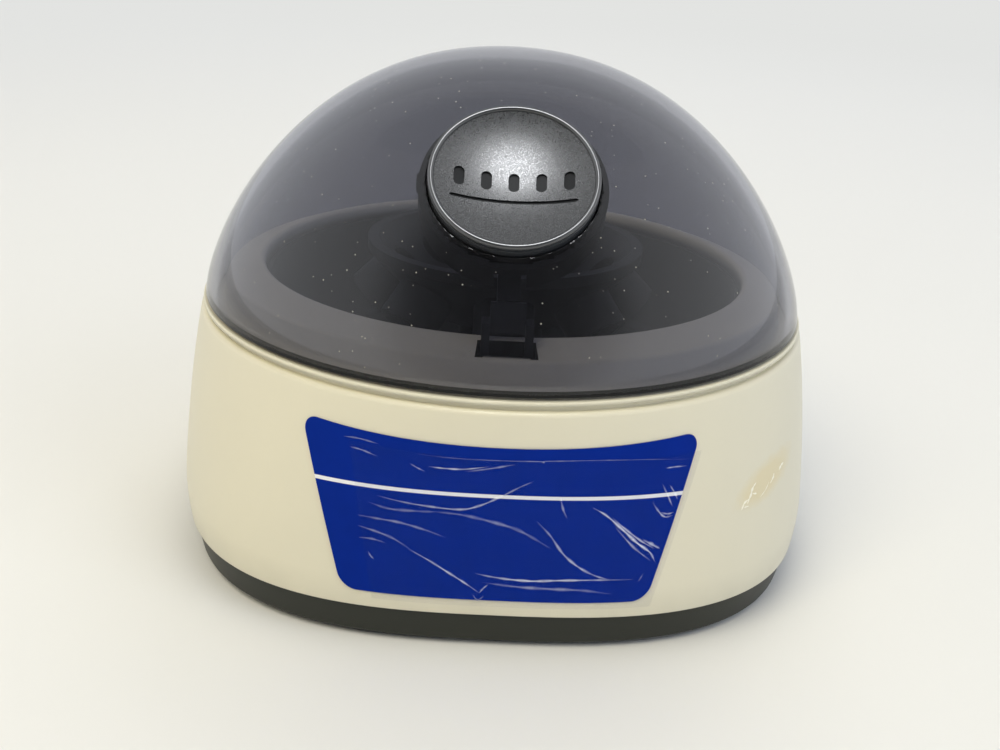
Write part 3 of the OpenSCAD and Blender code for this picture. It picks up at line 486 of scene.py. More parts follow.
def clear_film():
    """Clear protective film that clings to the print: it barely shows but for its edge and its creases."""
    material, tree, coords = shading("polyethylene_film_clear")
    haze = add(tree, "ShaderNodeTexNoise", {"Vector": coords, "Scale": per(3.3), "Detail": 3.0})
    gloss = add(tree, "ShaderNodeMapRange", {"Value": haze, "To Min": 0.1, "To Max": 0.3})
    pale = add(tree, "ShaderNodeMix", {
        "Factor_Float": haze, "A_Color": rgba(linear("0E2C86")), "B_Color": rgba(linear("1C3C9C"))},
        data_type="RGBA")
    shader = add(tree, "ShaderNodeBsdfPrincipled", {
        "Base Color": pale, "Roughness": gloss, "IOR": 1.5, "Alpha": 0.03})
    add(tree, "ShaderNodeOutputMaterial", {"Surface": shader})
    return material


def print_colour(tree, coords):
    """Colour of the label's print: blue ink that is a little uneven, with one white line across it."""
    parts = add(tree, "ShaderNodeSeparateXYZ", {"Vector": coords})
    bow = add(tree, "ShaderNodeMath", (parts.outputs["X"], 2.0), operation="POWER")
    line_z = add(tree, "ShaderNodeMath", (bow, -0.42, 37.95 * MM), operation="MULTIPLY_ADD")
    off = add(tree, "ShaderNodeMath", (parts.outputs["Z"], line_z), operation="SUBTRACT")
    away = add(tree, "ShaderNodeMath", (off,), operation="ABSOLUTE")
    line = add(tree, "ShaderNodeMapRange", {
        "Value": away, "From Min": 0.38 * MM, "From Max": 0.46 * MM, "To Min": 1.0, "To Max": 0.0})
    ink = add(tree, "ShaderNodeTexNoise", {"Vector": coords, "Scale": per(6), "Detail": 4.0})
    blue = add(tree, "ShaderNodeMix", {
        "Factor_Float": ink, "A_Color": shade_of(colours().label_blue, 0.88),
        "B_Color": shade_of(colours().label_blue, 1.12)}, data_type="RGBA")
    return add(tree, "ShaderNodeMix", {
        "Factor_Float": line, "A_Color": blue, "B_Color": rgba(colours().print_white)}, data_type="RGBA")


def label_print():
    """Screen-printed blue polycarbonate label: satin ink under a fine tooth."""
    material, tree, coords = shading("polycarbonate_label_printed")
    tooth = add(tree, "ShaderNodeTexNoise", {"Vector": coords, "Scale": per(0.3), "Detail": 1.0})
    bump = add(tree, "ShaderNodeBump", {"Height": tooth, "Distance": 0.004 * MM, "Strength": 0.4})
    gloss = add(tree, "ShaderNodeMapRange", {"Value": tooth, "To Min": 0.28, "To Max": 0.4})
    shader = add(tree, "ShaderNodeBsdfPrincipled", {
        "Base Color": print_colour(tree, coords), "Roughness": gloss,
        "Normal": bump, "IOR": 1.58, "Specular IOR Level": 0.04})
    add(tree, "ShaderNodeOutputMaterial", {"Surface": shader})
    return material


def crease_painted_glint():
    """Painted highlight along the film's bends: the print shows at a crease's edges, and a broken white glint
    is painted along its crest.
    """
    material, tree, coords = shading("polyethylene_crease_painted_glint")
    glint_mask = add(tree, "ShaderNodeAttribute", attribute_name="whitened")
    grain = add(tree, "ShaderNodeTexNoise", {"Vector": coords, "Scale": per(1.6), "Detail": 3.0})
    broken = add(tree, "ShaderNodeMapRange", {
        "Value": grain, "From Min": 0.35, "From Max": 0.65, "To Min": 0.55, "To Max": 1.1})
    amount = add(tree, "ShaderNodeMath", (glint_mask.outputs["Fac"], broken),
                 operation="MULTIPLY", use_clamp=True)
    glint_colour = add(tree, "ShaderNodeMix", {
        "Factor_Float": amount, "A_Color": print_colour(tree, coords),
        "B_Color": rgba(linear("E6EAF6"))}, data_type="RGBA")
    gloss = add(tree, "ShaderNodeMapRange", {"Value": grain, "To Min": 0.25, "To Max": 0.4})
    shader = add(tree, "ShaderNodeBsdfPrincipled", {
        "Base Color": glint_colour, "Roughness": gloss, "IOR": 1.5, "Specular IOR Level": 0.1})
    add(tree, "ShaderNodeOutputMaterial", {"Surface": shader})
    return material


def button_grain():
    """Moulded polycarbonate with a coarse spark-eroded grain, whose facets glint one by one."""
    material, tree, coords = shading("polycarbonate_grained")
    grey = colours().button_grey
    # The real grain is about 0.15 mm: drawn at 0.2 mm, so that its glints show
    cell = add(tree, "ShaderNodeTexVoronoi", {"Vector": coords, "Scale": per(0.2)})
    facet = add(tree, "ShaderNodeSeparateColor", {"Color": cell.outputs["Color"]})
    tone = add(tree, "ShaderNodeMix", {
        "Factor_Float": facet.outputs["Red"], "A_Color": shade_of(grey, 0.8),
        "B_Color": shade_of(grey, 1.25)}, data_type="RGBA")
    gloss = add(tree, "ShaderNodeMapRange", {"Value": facet.outputs["Green"], "To Min": 0.22, "To Max": 0.42})
    bump = add(tree, "ShaderNodeBump", {
        "Height": facet.outputs["Blue"], "Distance": 0.03 * MM, "Strength": 0.3})
    shader = add(tree, "ShaderNodeBsdfPrincipled", {
        "Base Color": tone, "Roughness": gloss, "Normal": bump, "IOR": 1.58, "Specular IOR Level": 1.0})
    add(tree, "ShaderNodeOutputMaterial", {"Surface": shader})
    return material


def circuit_laminate():
    """Glass-epoxy board: green solder mask over copper tracks that run across it."""
    material, tree, coords = shading("glass_epoxy_board")
    tracks = add(tree, "ShaderNodeTexBrick", {
        "Vector": coords, "Scale": per(2.4), "Color1": rgba(linear("0F4A24")),
        "Color2": rgba(linear("15592D")), "Mortar": rgba(linear("2E7A3F")), "Mortar Size": 0.035,
        "Brick Width": 1.7, "Row Height": 0.5})
    weave = add(tree, "ShaderNodeTexNoise", {"Vector": coords, "Scale": per(0.7), "Detail": 2.0})
    bump = add(tree, "ShaderNodeBump", {"Height": weave, "Distance": 0.01 * MM, "Strength": 0.5})
    gloss = add(tree, "ShaderNodeMapRange", {"Value": weave, "To Min": 0.3, "To Max": 0.45})
    shader = add(tree, "ShaderNodeBsdfPrincipled", {
        "Base Color": tracks, "Roughness": gloss, "Normal": bump})
    add(tree, "ShaderNodeOutputMaterial", {"Surface": shader})
    return material


RECIPES = {
    "ivory": ivory_abs,
    "smoke": smoked_acrylic,
    "film": clear_film,
    "label": label_print,
    "grain": button_grain,
    "board": circuit_laminate,
    "crease_glint": crease_painted_glint,
    # Plastics with their colour, roughness, and width and height of grain in millimetres
    # Dark grey satin ABS, with little gloss
    "tray": lambda: moulded("grey_abs_moulded", colours().tray_grey, 0.45, 0.5, 0.014, shine=0.25),
    # Polished bead that draws one bright line round the button
    "bead": lambda: moulded("polycarbonate_polished", linear("34363A"), 0.14, 2.5, 0.002, blotch=0.03,
                            shine=0.9),
    # Cut edge of the lid, which looks black because nothing shines through along the wall
    "rim": lambda: moulded("smoked_acrylic_edge", linear("0C0C0E"), 0.12, 2.0, 0.002, shine=0.2),
    # Brittle flakes, almost white
    "flake": lambda: moulded("dried_adhesive", linear("F3EFE0"), 0.35, 0.6, 0.02, blotch=0.12),
    # Dull floor of the sunk marks
    "mark": lambda: moulded("polycarbonate_sunk", linear("131416"), 0.5, 0.6, 0.006, shine=0.2),
    # Dull black rubber, clouded by its powder
    "rubber": lambda: moulded("nitrile_rubber", linear("1D1D1C"), 0.75, 0.7, 0.02, blotch=0.12),
    # Black plastics, from the satin bowl to the glossy rocker
    "bowl": lambda: moulded("dark_abs_bowl", linear("1B1C1E"), 0.38, 0.6, 0.004),
    "nylon": lambda: moulded("black_nylon", linear("0E0E10"), 0.42, 0.5, 0.01, shine=0.3),
    "lever": lambda: moulded("acetal_lever", linear("15161D"), 0.34, 0.6, 0.008),
    "rotor": lambda: moulded("polypropylene_rotor", linear("151618"), 0.4, 0.5, 0.012),
    "rocker": lambda: moulded("rocker_nylon_gloss", linear("101011"), 0.2, 0.8, 0.004),
    # Small plastics that stand out: a red plunger, white print, blue sleeves and a pale socket
    "plunger": lambda: moulded("red_acetal", linear("8E2218"), 0.35, 0.5, 0.006),
    "mark_white": lambda: moulded("pad_print_white", linear("DADAD6"), 0.5, 0.4, 0.004),
    "sleeve": lambda: moulded("shrink_sleeve", linear("1D2B4C"), 0.3, 0.6, 0.004),
    "socket": lambda: moulded("nylon_connector", linear("D8D3C2"), 0.45, 0.5, 0.008),
    # Metals with their colour, roughness and the stretch of their lines along X, Y and Z
    # Soft plating, the bright lines of grinding and turning, and smooth drawn wire
    "zinc": lambda: metal("zinc_plated_steel", linear("B9BCC0"), 0.34, (1.0, 1.0, 0.25)),
    "shaft": lambda: metal("ground_steel", linear("C6C8CA"), 0.2, (0.3, 0.3, 1.6), 0.002),
    "alloy": lambda: metal("turned_aluminium", linear("CFD1D4"), 0.3, (0.3, 0.3, 1.8)),
    "can": lambda: metal("plated_motor_can", linear("8C9198"), 0.36, (1.0, 1.0, 0.2)),
    "wire": lambda: metal("spring_steel_wire", linear("A9ACB0"), 0.26, (1.0, 1.0, 1.0)),
}


# Plans and places that several pieces share

TURN = np.arange(ROUND) * 2 * math.pi / ROUND
# The tray's lower edge over the bench
TRAY_FOOT = 1.5 * MM
# The hinge axis lies behind and over the lid's rim
HINGE_BACK = 4 * MM
HINGE_LIFT = 3.4 * MM
# The panel sunk in the back has the inlet on one side of its middle and the switch on the other
PANEL_WIDTH = 58 * MM
PANEL_TALL = 26 * MM
PANEL_DEPTH = 7 * MM
PANEL_HEIGHT = 30 * MM
FITTING_ACROSS = 15 * MM
# The latch slot in the front of the deck
SLOT_HALF = 6.35 * MM
SLOT_FRONT = -68.6 * MM
SLOT_BACK = -63.5 * MM
SLOT_FOOT = 59 * MM
# The step down from the deck's edge at the bowl to the land that the bowl hangs from
LAND_DROP = 4 * MM


def plan(half_w, front, rear, front_n, rear_n, z):
    """One closed ring of a rounded plan, at even angles."""
    c, s = np.abs(np.cos(TURN)), np.abs(np.sin(TURN))
    ahead = np.sin(TURN) < 0
    reach, n = np.where(ahead, front, rear), np.where(ahead, front_n, rear_n)
    r = ((c / half_w) ** n + (s / reach) ** n) ** (-1 / n)
    return np.stack([r * np.cos(TURN), r * np.sin(TURN), np.full(ROUND, z)], 1)


def mix(a, b, u):
    return a + (b - a) * u


def rise(z):
    """Share of the way from the seam to the lip."""
    s = sizes()
    return (z - s.seam_height) / (s.lip_height - s.seam_height)


def half_width(z):
    """Half the housing's width at a height: full a little over the seam, and tucked in at it."""
    s, u = sizes(), max(rise(z), 0)
    # The share of the height in which the tuck fades, and how late the sides lean in
    tuck_share, lean = 0.22, 2.5
    tuck = s.seam_tuck * max(1 - u / tuck_share, 0) ** 2
    return s.lip_radius + (s.body_width / 2 - s.lip_radius) * (1 - u ** lean) - tuck


def front_fullness(z):
    """How square the front corners are at a height: round at the lip."""
    return mix(sizes().corner_fullness, 2, rise(z))


def front_at(z):
    """Rotor axis to the front at a height."""
    return mix(sizes().front_reach, sizes().lip_radius, rise(z))


def body_plan(z, inset=0.0):
    """One ring of the housing, set in from its outer face."""
    s, u, rear_lean = sizes(), rise(z), 2 * MM
    rear = mix(s.rear_reach, s.rear_reach - rear_lean, u)
    return plan(half_width(z) - inset, front_at(z) - inset, rear - inset, front_fullness(z),
                mix(s.corner_fullness, s.rear_fullness, u), z)


def round_plan(radius, z):
    return plan(radius, radius, radius, 2, 2, z)


def tray_plan(z, inset=0.0):
    """The tray steps in at the seam, and leans in from there to the bench."""
    s = sizes()
    step, side_lean, end_lean = 0.6 * MM, 1.8 * MM, 1.2 * MM
    u = (s.seam_height - z) / (s.seam_height - TRAY_FOOT)
    inward, full = step + inset, s.corner_fullness
    return plan(half_width(z) - inward - side_lean * u, s.front_reach - inward - end_lean * u,
                s.rear_reach - inward - end_lean * u, full, full, z)


def front_face(x, z):
    """Y of the housing's front at a place across and a height."""
    n = front_fullness(z)
    return -front_at(z) * (1 - (abs(x) / half_width(z)) ** n) ** (1 / n)


def corner_places(side, front, rear):
    """Four places, set in from the housing's sides, front and back."""
    s = sizes()
    x = s.body_width / 2 - side
    return [(sign * x, y) for y in (front - s.front_reach, s.rear_reach - rear) for sign in (1, -1)]


def boss_places():
    """Screw bosses that hold the tray to the housing."""
    return corner_places(24.5 * MM, 24.8 * MM, 27.3 * MM)


def foot_places():
    """Rubber feet."""
    return corner_places(38 * MM, 21.3 * MM, 26 * MM)


def mount_places():
    """Posts under the motor plate."""
    return circle(28 * MM, (30, 150, 270))


def board_places():
    """Stands under the control board."""
    middle, half_w, half_d = sizes().rear_reach - 40 * MM, 24 * MM, 13.5 * MM
    return [(i * half_w, middle + j * half_d) for i in (1, -1) for j in (1, -1)]


def hinge_place():
    """Y and Z of the hinge axis."""
    s = sizes()
    return s.lid_radius + HINGE_BACK, s.lid_height + HINGE_LIFT


def panel_face():
    """Y of the panel in the back."""
    return sizes().rear_reach - PANEL_DEPTH


def button_place():
    """The button's own axes: X across, Y up its face, Z outwards."""
    s, climb = sizes(), 41.9 * MM
    up = (climb / s.dome_rise) ** s.dome_top
    y = -s.lid_radius * (1 - up) ** (1 / s.dome_side)
    turn = Matrix.Rotation(math.pi / 2 - s.button_tilt, 4, "X")
    return Matrix.Translation((0, y, s.lid_height + climb)) @ turn


# Geometry node trees

def tree_of(name, inputs):
    """An empty geometry tree with named inputs, and the sockets that give them."""
    tree = bpy.data.node_groups.new(name, "GeometryNodeTree")
    tree.interface.new_socket("Geometry", in_out="INPUT", socket_type="NodeSocketGeometry")
    for label, kind, value in inputs:
        tree.interface.new_socket(label, in_out="INPUT", socket_type=kind).default_value = value
    tree.interface.new_socket("Geometry", in_out="OUTPUT", socket_type="NodeSocketGeometry")
    return tree, tree.nodes.new("NodeGroupInput").outputs


def close_tree(tree, geometry, material):
    """Ends a tree in Realize Instances and Set Material."""
    real = add(tree, "GeometryNodeRealizeInstances", {"Geometry": geometry})
    coat = add(tree, "GeometryNodeSetMaterial", {"Geometry": real, "Material": material})
    add(tree, "NodeGroupOutput", {"Geometry": coat})
    return tree


def grown(name, tree, points=((0, 0, 0),), **values):
    """The mesh that a tree makes from some points, as an object of its own."""
    mesh = bpy.data.meshes.new(name)
    mesh.from_pydata([tuple(p) for p in points], [], [])
    obj = link(name, mesh)
    step = obj.modifiers.new("grow", "NODES")
    step.node_group = tree
    for item in tree.interface.items_tree:
        if item.in_out == "INPUT" and item.name in values:
            step[item.identifier] = values[item.name]
    settle(obj)
    bm = bmesh.new()
    bm.from_mesh(obj.data)
    bmesh.ops.remove_doubles(bm, verts=bm.verts, dist=SAME)
    bmesh.ops.recalc_face_normals(bm, faces=bm.faces)
    bm.to_mesh(obj.data)
    bm.free()
    return obj


FLOAT, VECTOR, INTEGER = "NodeSocketFloat", "NodeSocketVector", "NodeSocketInt"


def screw_tree(material):
    """Pan-head screws with a cross recess, one on each point, head down along -Z before the turn."""
    tree, given = tree_of("screw_set", (
        ("Head Radius", FLOAT, 3.1 * MM), ("Head Height", FLOAT, 2 * MM), ("Shank Radius", FLOAT, 1.45 * MM),
        ("Length", FLOAT, 18 * MM), ("Turn", VECTOR, (0, 0, 0))))
    wide, tall, long = given["Head Radius"], given["Head Height"], given["Length"]
    # Shares of the head's height and radius, and of the screw's length
    half, skirt_z, top_z, crown, slot_w, slot_l, shank_z = [
        add(tree, "ShaderNodeMath", (size, share), operation="MULTIPLY") for size, share in (
            (tall, 0.5), (tall, -0.25), (tall, -1.0), (wide, 0.72), (wide, 0.24), (wide, 1.15), (long, 0.5))]
    skirt = add(tree, "GeometryNodeMeshCylinder", {"Vertices": 40, "Radius": wide, "Depth": half})
    top = add(tree, "GeometryNodeMeshCone", {
        "Vertices": 40, "Radius Bottom": crown, "Radius Top": wide, "Depth": half})
    shank = add(tree, "GeometryNodeMeshCylinder", {
        "Vertices": 24, "Radius": given["Shank Radius"], "Depth": long})
    slots = [add(tree, "GeometryNodeMeshCube", {"Size": add(tree, "ShaderNodeCombineXYZ", size)})
             for size in ((slot_l, slot_w, tall), (slot_w, slot_l, tall))]
    rows = [(skirt, skirt_z), (top, top_z), (shank, shank_z), *((slot, top_z) for slot in slots)]
    put = [add(tree, "GeometryNodeTransform", {
        "Geometry": piece, "Translation": add(tree, "ShaderNodeCombineXYZ", {"Z": z})}) for piece, z in rows]
    body = add(tree, "GeometryNodeMeshBoolean", {"Mesh 2": put[:3]}, operation="UNION", solver="MANIFOLD")
    cross = add(tree, "GeometryNodeMeshBoolean", {"Mesh 1": body, "Mesh 2": put[3:]}, operation="DIFFERENCE",
                solver="MANIFOLD")
    copies = add(tree, "GeometryNodeInstanceOnPoints", {
        "Points": given["Geometry"], "Instance": cross, "Rotation": given["Turn"]})
    return close_tree(tree, copies, material)


def spring_tree(material):
    """One unbroken helical wire."""
    tree, given = tree_of("wound_spring", (
        ("Radius", FLOAT, 8 * MM), ("Wire Radius", FLOAT, 0.45 * MM), ("Height", FLOAT, 4 * MM),
        ("Turns", FLOAT, 3.0)))
    path = add(tree, "GeometryNodeCurveSpiral", {
        "Resolution": 48, "Rotations": given["Turns"], "Start Radius": given["Radius"],
        "End Radius": given["Radius"], "Height": given["Height"]})
    wire = add(tree, "GeometryNodeCurvePrimitiveCircle", {"Resolution": 14, "Radius": given["Wire Radius"]})
    tube = add(tree, "GeometryNodeCurveToMesh", {"Curve": path, "Profile Curve": wire, "Fill Caps": True})
    return close_tree(tree, tube, material)


def bar_tree(material):
    """A row of round-ended bars along X that bows with the sag, for sunk marks and vents."""
    tree, given = tree_of("bar_row", (
        ("Count", INTEGER, 5), ("Pitch", FLOAT, 6 * MM), ("Width", FLOAT, 2 * MM), ("Height", FLOAT, 5 * MM),
        ("Depth", FLOAT, 3 * MM), ("Sag", FLOAT, 0.0)))
    outline = add(tree, "GeometryNodeCurvePrimitiveQuadrilateral", {
        "Width": given["Width"], "Height": given["Height"]})
    corner = add(tree, "ShaderNodeMath", (given["Width"], 0.49), operation="MULTIPLY")
    soft = add(tree, "GeometryNodeFilletCurve", {
        "Curve": outline, "Radius": corner, "Count": 6}, mode="POLY")
    fill = add(tree, "GeometryNodeFillCurve", {"Curve": soft}, mode="NGONS")
    lift = add(tree, "ShaderNodeCombineXYZ", {"Z": given["Depth"]})
    far = add(tree, "GeometryNodeExtrudeMesh", {"Mesh": fill, "Offset": lift, "Individual": False})
    near = add(tree, "GeometryNodeFlipFaces", {"Mesh": fill})
    both = add(tree, "GeometryNodeJoinGeometry", {"Geometry": [far, near]})
    bar = add(tree, "GeometryNodeMergeByDistance", {"Geometry": both, "Distance": SAME_GROWN})
    last = add(tree, "ShaderNodeMath", (given["Count"], 1.0), operation="SUBTRACT")
    start = add(tree, "ShaderNodeMath", (last, given["Pitch"]), operation="MULTIPLY")
    begin = add(tree, "ShaderNodeMath", (start, -0.5), operation="MULTIPLY")
    step = add(tree, "ShaderNodeCombineXYZ", {"X": given["Pitch"]})
    first = add(tree, "ShaderNodeCombineXYZ", {"X": begin})
    row = add(tree, "GeometryNodeMeshLine", {
        "Count": given["Count"], "Start Location": first, "Offset": step})
    place = add(tree, "ShaderNodeSeparateXYZ", (add(tree, "GeometryNodeInputPosition"),))
    share = add(tree, "ShaderNodeMath", (place.outputs["X"], begin), operation="DIVIDE")
    square = add(tree, "ShaderNodeMath", (share, share), operation="MULTIPLY")
    bow = add(tree, "ShaderNodeMath", (square, given["Sag"]), operation="MULTIPLY")
    shift = add(tree, "ShaderNodeCombineXYZ", {"Y": bow})
    bent = add(tree, "GeometryNodeSetPosition", {"Geometry": row, "Offset": shift})
    copies = add(tree, "GeometryNodeInstanceOnPoints", {"Points": bent, "Instance": bar})
    return close_tree(tree, copies, material)


def dome_tree(material):
    """The lid's wall: an outer and an inner skin of one rule, joined along the rim."""
    tree, given = tree_of("domed_wall", (
        ("Rim Radius", FLOAT, 76 * MM), ("Rim Height", FLOAT, 60 * MM), ("Rise", FLOAT, 61 * MM),
        ("Wall", FLOAT, 2.6 * MM), ("Side", FLOAT, 2.2), ("Top", FLOAT, 1.5)))
    rows, skins = 88, []
    side_power, top_power = [
        add(tree, "ShaderNodeMath", (2.0, given[key]), operation="DIVIDE") for key in ("Side", "Top")]
    for inner in (False, True):
        sheet = add(tree, "GeometryNodeMeshGrid", {
            "Size X": 1.0, "Size Y": 1.0, "Vertices X": ROUND + 1, "Vertices Y": rows})
        place = add(tree, "ShaderNodeSeparateXYZ", (add(tree, "GeometryNodeInputPosition"),))
        turn = add(tree, "ShaderNodeMath", (place.outputs["X"], 2 * math.pi), operation="MULTIPLY")
        # The inner skin's first row lies on the outer rim, so that the two skins close
        first = 1 / (rows - 1) if inner else 0.0
        climb = add(tree, "ShaderNodeMapRange", {
            "Value": place.outputs["Y"], "From Min": first - 0.5, "From Max": 0.5, "To Max": math.pi / 2})
        past = add(tree, "ShaderNodeMath", (place.outputs["Y"], first / 2 - 0.5 if inner else 1.0),
                   operation="GREATER_THAN")
        inset = add(tree, "ShaderNodeMath", (past, given["Wall"]), operation="MULTIPLY")
        spans = []
        for size, wave, power in (("Rim Radius", "COSINE", side_power), ("Rise", "SINE", top_power)):
            span = add(tree, "ShaderNodeMath", (given[size], inset), operation="SUBTRACT")
            swing = add(tree, "ShaderNodeMath", (climb,), operation=wave)
            plus = add(tree, "ShaderNodeMath", (swing, 0.0), operation="MAXIMUM")
            full = add(tree, "ShaderNodeMath", (plus, power), operation="POWER")
            spans.append(add(tree, "ShaderNodeMath", (span, full), operation="MULTIPLY"))
        radius, climbed = spans
        flat = []
        for wave in ("COSINE", "SINE"):
            swing = add(tree, "ShaderNodeMath", (turn,), operation=wave)
            flat.append(add(tree, "ShaderNodeMath", (swing, radius), operation="MULTIPLY"))
        height = add(tree, "ShaderNodeMath", (climbed, given["Rim Height"]), operation="ADD")
        point = add(tree, "ShaderNodeCombineXYZ", (*flat, height))
        skins.append(add(tree, "GeometryNodeSetPosition", {"Geometry": sheet, "Position": point}))
    both = add(tree, "GeometryNodeJoinGeometry", {"Geometry": skins})
    wall = add(tree, "GeometryNodeMergeByDistance", {"Geometry": both, "Distance": SAME_GROWN})
    return close_tree(tree, wall, material)


# Operators

class CENTRIFUGE_OT_housing(Operator):
    """Make the ivory housing with its lip, deck, latch slot, rear recess and hinge knuckles"""

    bl_idname = "centrifuge.housing"
    bl_label = "Housing"

    def execute(self, context):
        s = sizes()
        lip, seam, wall = s.lip_height, s.seam_height, s.wall
        lip_round, edge, overlap = 1.2 * MM, 0.35 * MM, 0.4 * MM
        groove = s.lip_radius - lip_round - overlap
        hole = groove - wall + overlap
        rings = [body_plan(seam, edge), body_plan(seam + 0.3 * edge, 0.3 * edge)]
        rings += [body_plan(z) for z in np.linspace(seam + edge, lip - lip_round, 30)]
        rings += [body_plan(lip - lip_round * (1 - math.sin(a)), lip_round * (1 - math.cos(a)))
                  for a in np.radians([15, 30, 45, 60, 75, 90])]
        rings += [round_plan(hole, lip), round_plan(hole, lip - wall)]
        rings += [body_plan(z, wall) for z in np.linspace(lip - wall, seam, 16)]
        housing = lofted("upper_housing_shell", rings, capped=False)
        carve(housing, "UNION", self.deck(groove), *self.knuckles(), *self.inner())
        carve(housing, "DIFFERENCE", *self.cuts())
        soften(housing)
        finish_piece(housing, finish("ivory"), "base", "ivory_abs", "upper_housing")
        # Painted shade: the slot's walls get the black nylon finish, to stand in for the shade inside the
        # slot
        accent(housing, "nylon", self.painted_shade_slot_wall)
        return {"FINISHED"}

    def painted_shade_slot_wall(self, face):
        """Whether a face belongs to the walls of the latch slot."""
        x, y, z = face.center
        slack, edge = 0.05 * MM, 1 * MM
        return (abs(x) < SLOT_HALF + slack and SLOT_FRONT - slack < y < SLOT_BACK + slack
                and SLOT_FOOT - edge < z < sizes().deck_height - edge)

    def deck(self, groove):
        """The ledge under the lid's rim and the raised deck round the bowl."""
        s = sizes()
        ledge, ledge_r, land = 59.3 * MM, s.lip_radius - 0.4 * MM, s.deck_height - LAND_DROP
        edge_z, round_r, edge_r, corner_r = s.deck_height - 2.3 * MM, 1.2 * MM, 0.4 * MM, 0.8 * MM
        inner, foot, thick = groove - s.wall, s.deck_radius + 1 * MM, 3 * MM
        under, skirt = s.lip_height - s.wall, ledge - 1 * MM
        profile = [(inner, under), (groove, under), (groove, skirt), (ledge_r, skirt)]
        profile += arc((ledge_r - edge_r, ledge - edge_r), edge_r, 0, 90)
        profile += arc((foot + corner_r, ledge + corner_r), corner_r, 270, 190, 5)
        profile += arc((s.deck_radius - round_r, edge_z - round_r), round_r, 10, 75)
        profile += arc((s.bowl_radius + round_r, s.deck_height - round_r), round_r, 80, 180)
        profile += [(s.bowl_radius, land), (s.deck_radius - thick, land), (foot - thick, ledge - s.wall),
                    (inner, ledge - s.wall)]
        return turned("deck", profile)

    def knuckles(self):
        """The two hinge knuckles that stand on the lip."""
        s = sizes()
        y, z = hinge_place()
        r, wide, gap = 3.6 * MM, 10 * MM, 14 * MM
        foot = s.lip_height - s.wall - z
        outline = arc((0, 0), r, 180, 0, 24) + [(r, foot), (-r, foot)]
        turn = Matrix(((0, 0, 1, 0), (1, 0, 0, y), (0, 1, 0, z), (0, 0, 0, 1)))
        return [soften(prism("knuckle", outline, wide, Matrix.Translation((start, 0, 0)) @ turn), 0.35 * MM)
                for start in (gap, -gap - wide)]

    def inner(self):
        """The panel behind the recess, the screw bosses with their ribs, and the lid switch's hangers."""
        s = sizes()
        half_w, half_h, y, z = PANEL_WIDTH / 2 + s.wall, PANEL_TALL / 2 + s.wall, panel_face(), PANEL_HEIGHT
        panel = block("panel", (-half_w, y - s.wall, z - half_h), (half_w, y + 20 * MM, z + half_h))
        foot, top, rib, reach = 12.2 * MM, 32 * MM, 1 * MM, 60 * MM
        ribs = uprights("boss", 4 * MM, boss_places(), foot, top, 40)
        for x, by in boss_places():
            turn = Matrix.Translation((x, by, foot)) @ Matrix.Rotation(math.atan2(by, x), 4, "Z")
            ribs.append(prism("rib", [(0, -rib), (reach, -rib), (reach, rib), (0, rib)], top - foot, turn))
        rows = np.linspace(10 * MM, 54.6 * MM, 8)
        core = lofted("core", [body_plan(h, 0.5 * MM) for h in rows], capped=True)
        inside = carve(panel, "UNION", *ribs)
        carve(inside, "INTERSECT", core)
        across, half, front, back = 7.5 * MM, 1 * MM, -67.2 * MM, -63.6 * MM
        low, high = 52 * MM, 65.6 * MM
        return [inside, *(block("hanger", (x - half, front, low), (x + half, back, high))
                          for x in (across, -across))]

    def cuts(self):
        """Tools for the recess, the latch slot, the two fittings, the hinge pin and the screws."""
        y, z, x = panel_face(), PANEL_HEIGHT, FITTING_ACROSS
        back, front, half_w, half_h = y + 1 * MM, y - 10 * MM, 6.6 * MM, 9.6 * MM
        turn = Matrix(((-1, 0, 0, 0), (0, 0, 1, y), (0, 1, 0, z), (0, 0, 0, 1)))
        (hinge_y, hinge_z), reach = hinge_place(), 30 * MM
        return [
            prism("recess", rounded(PANEL_WIDTH, PANEL_TALL, 2.5 * MM), 12 * MM, turn),
            block("slot", (-SLOT_HALF, SLOT_FRONT, SLOT_FOOT), (SLOT_HALF, SLOT_BACK, 70 * MM)),
            rod("inlet", 5.5 * MM, (-x, front, z), (-x, back, z)),
            block("switch", (x - half_w, front, z - half_h), (x + half_w, back, z + half_h)),
            rod("pin", 1.51 * MM, (-reach, hinge_y, hinge_z), (reach, hinge_y, hinge_z)),
            *uprights("pilot", 1.5 * MM, boss_places(), 11 * MM, 28 * MM),
        ]


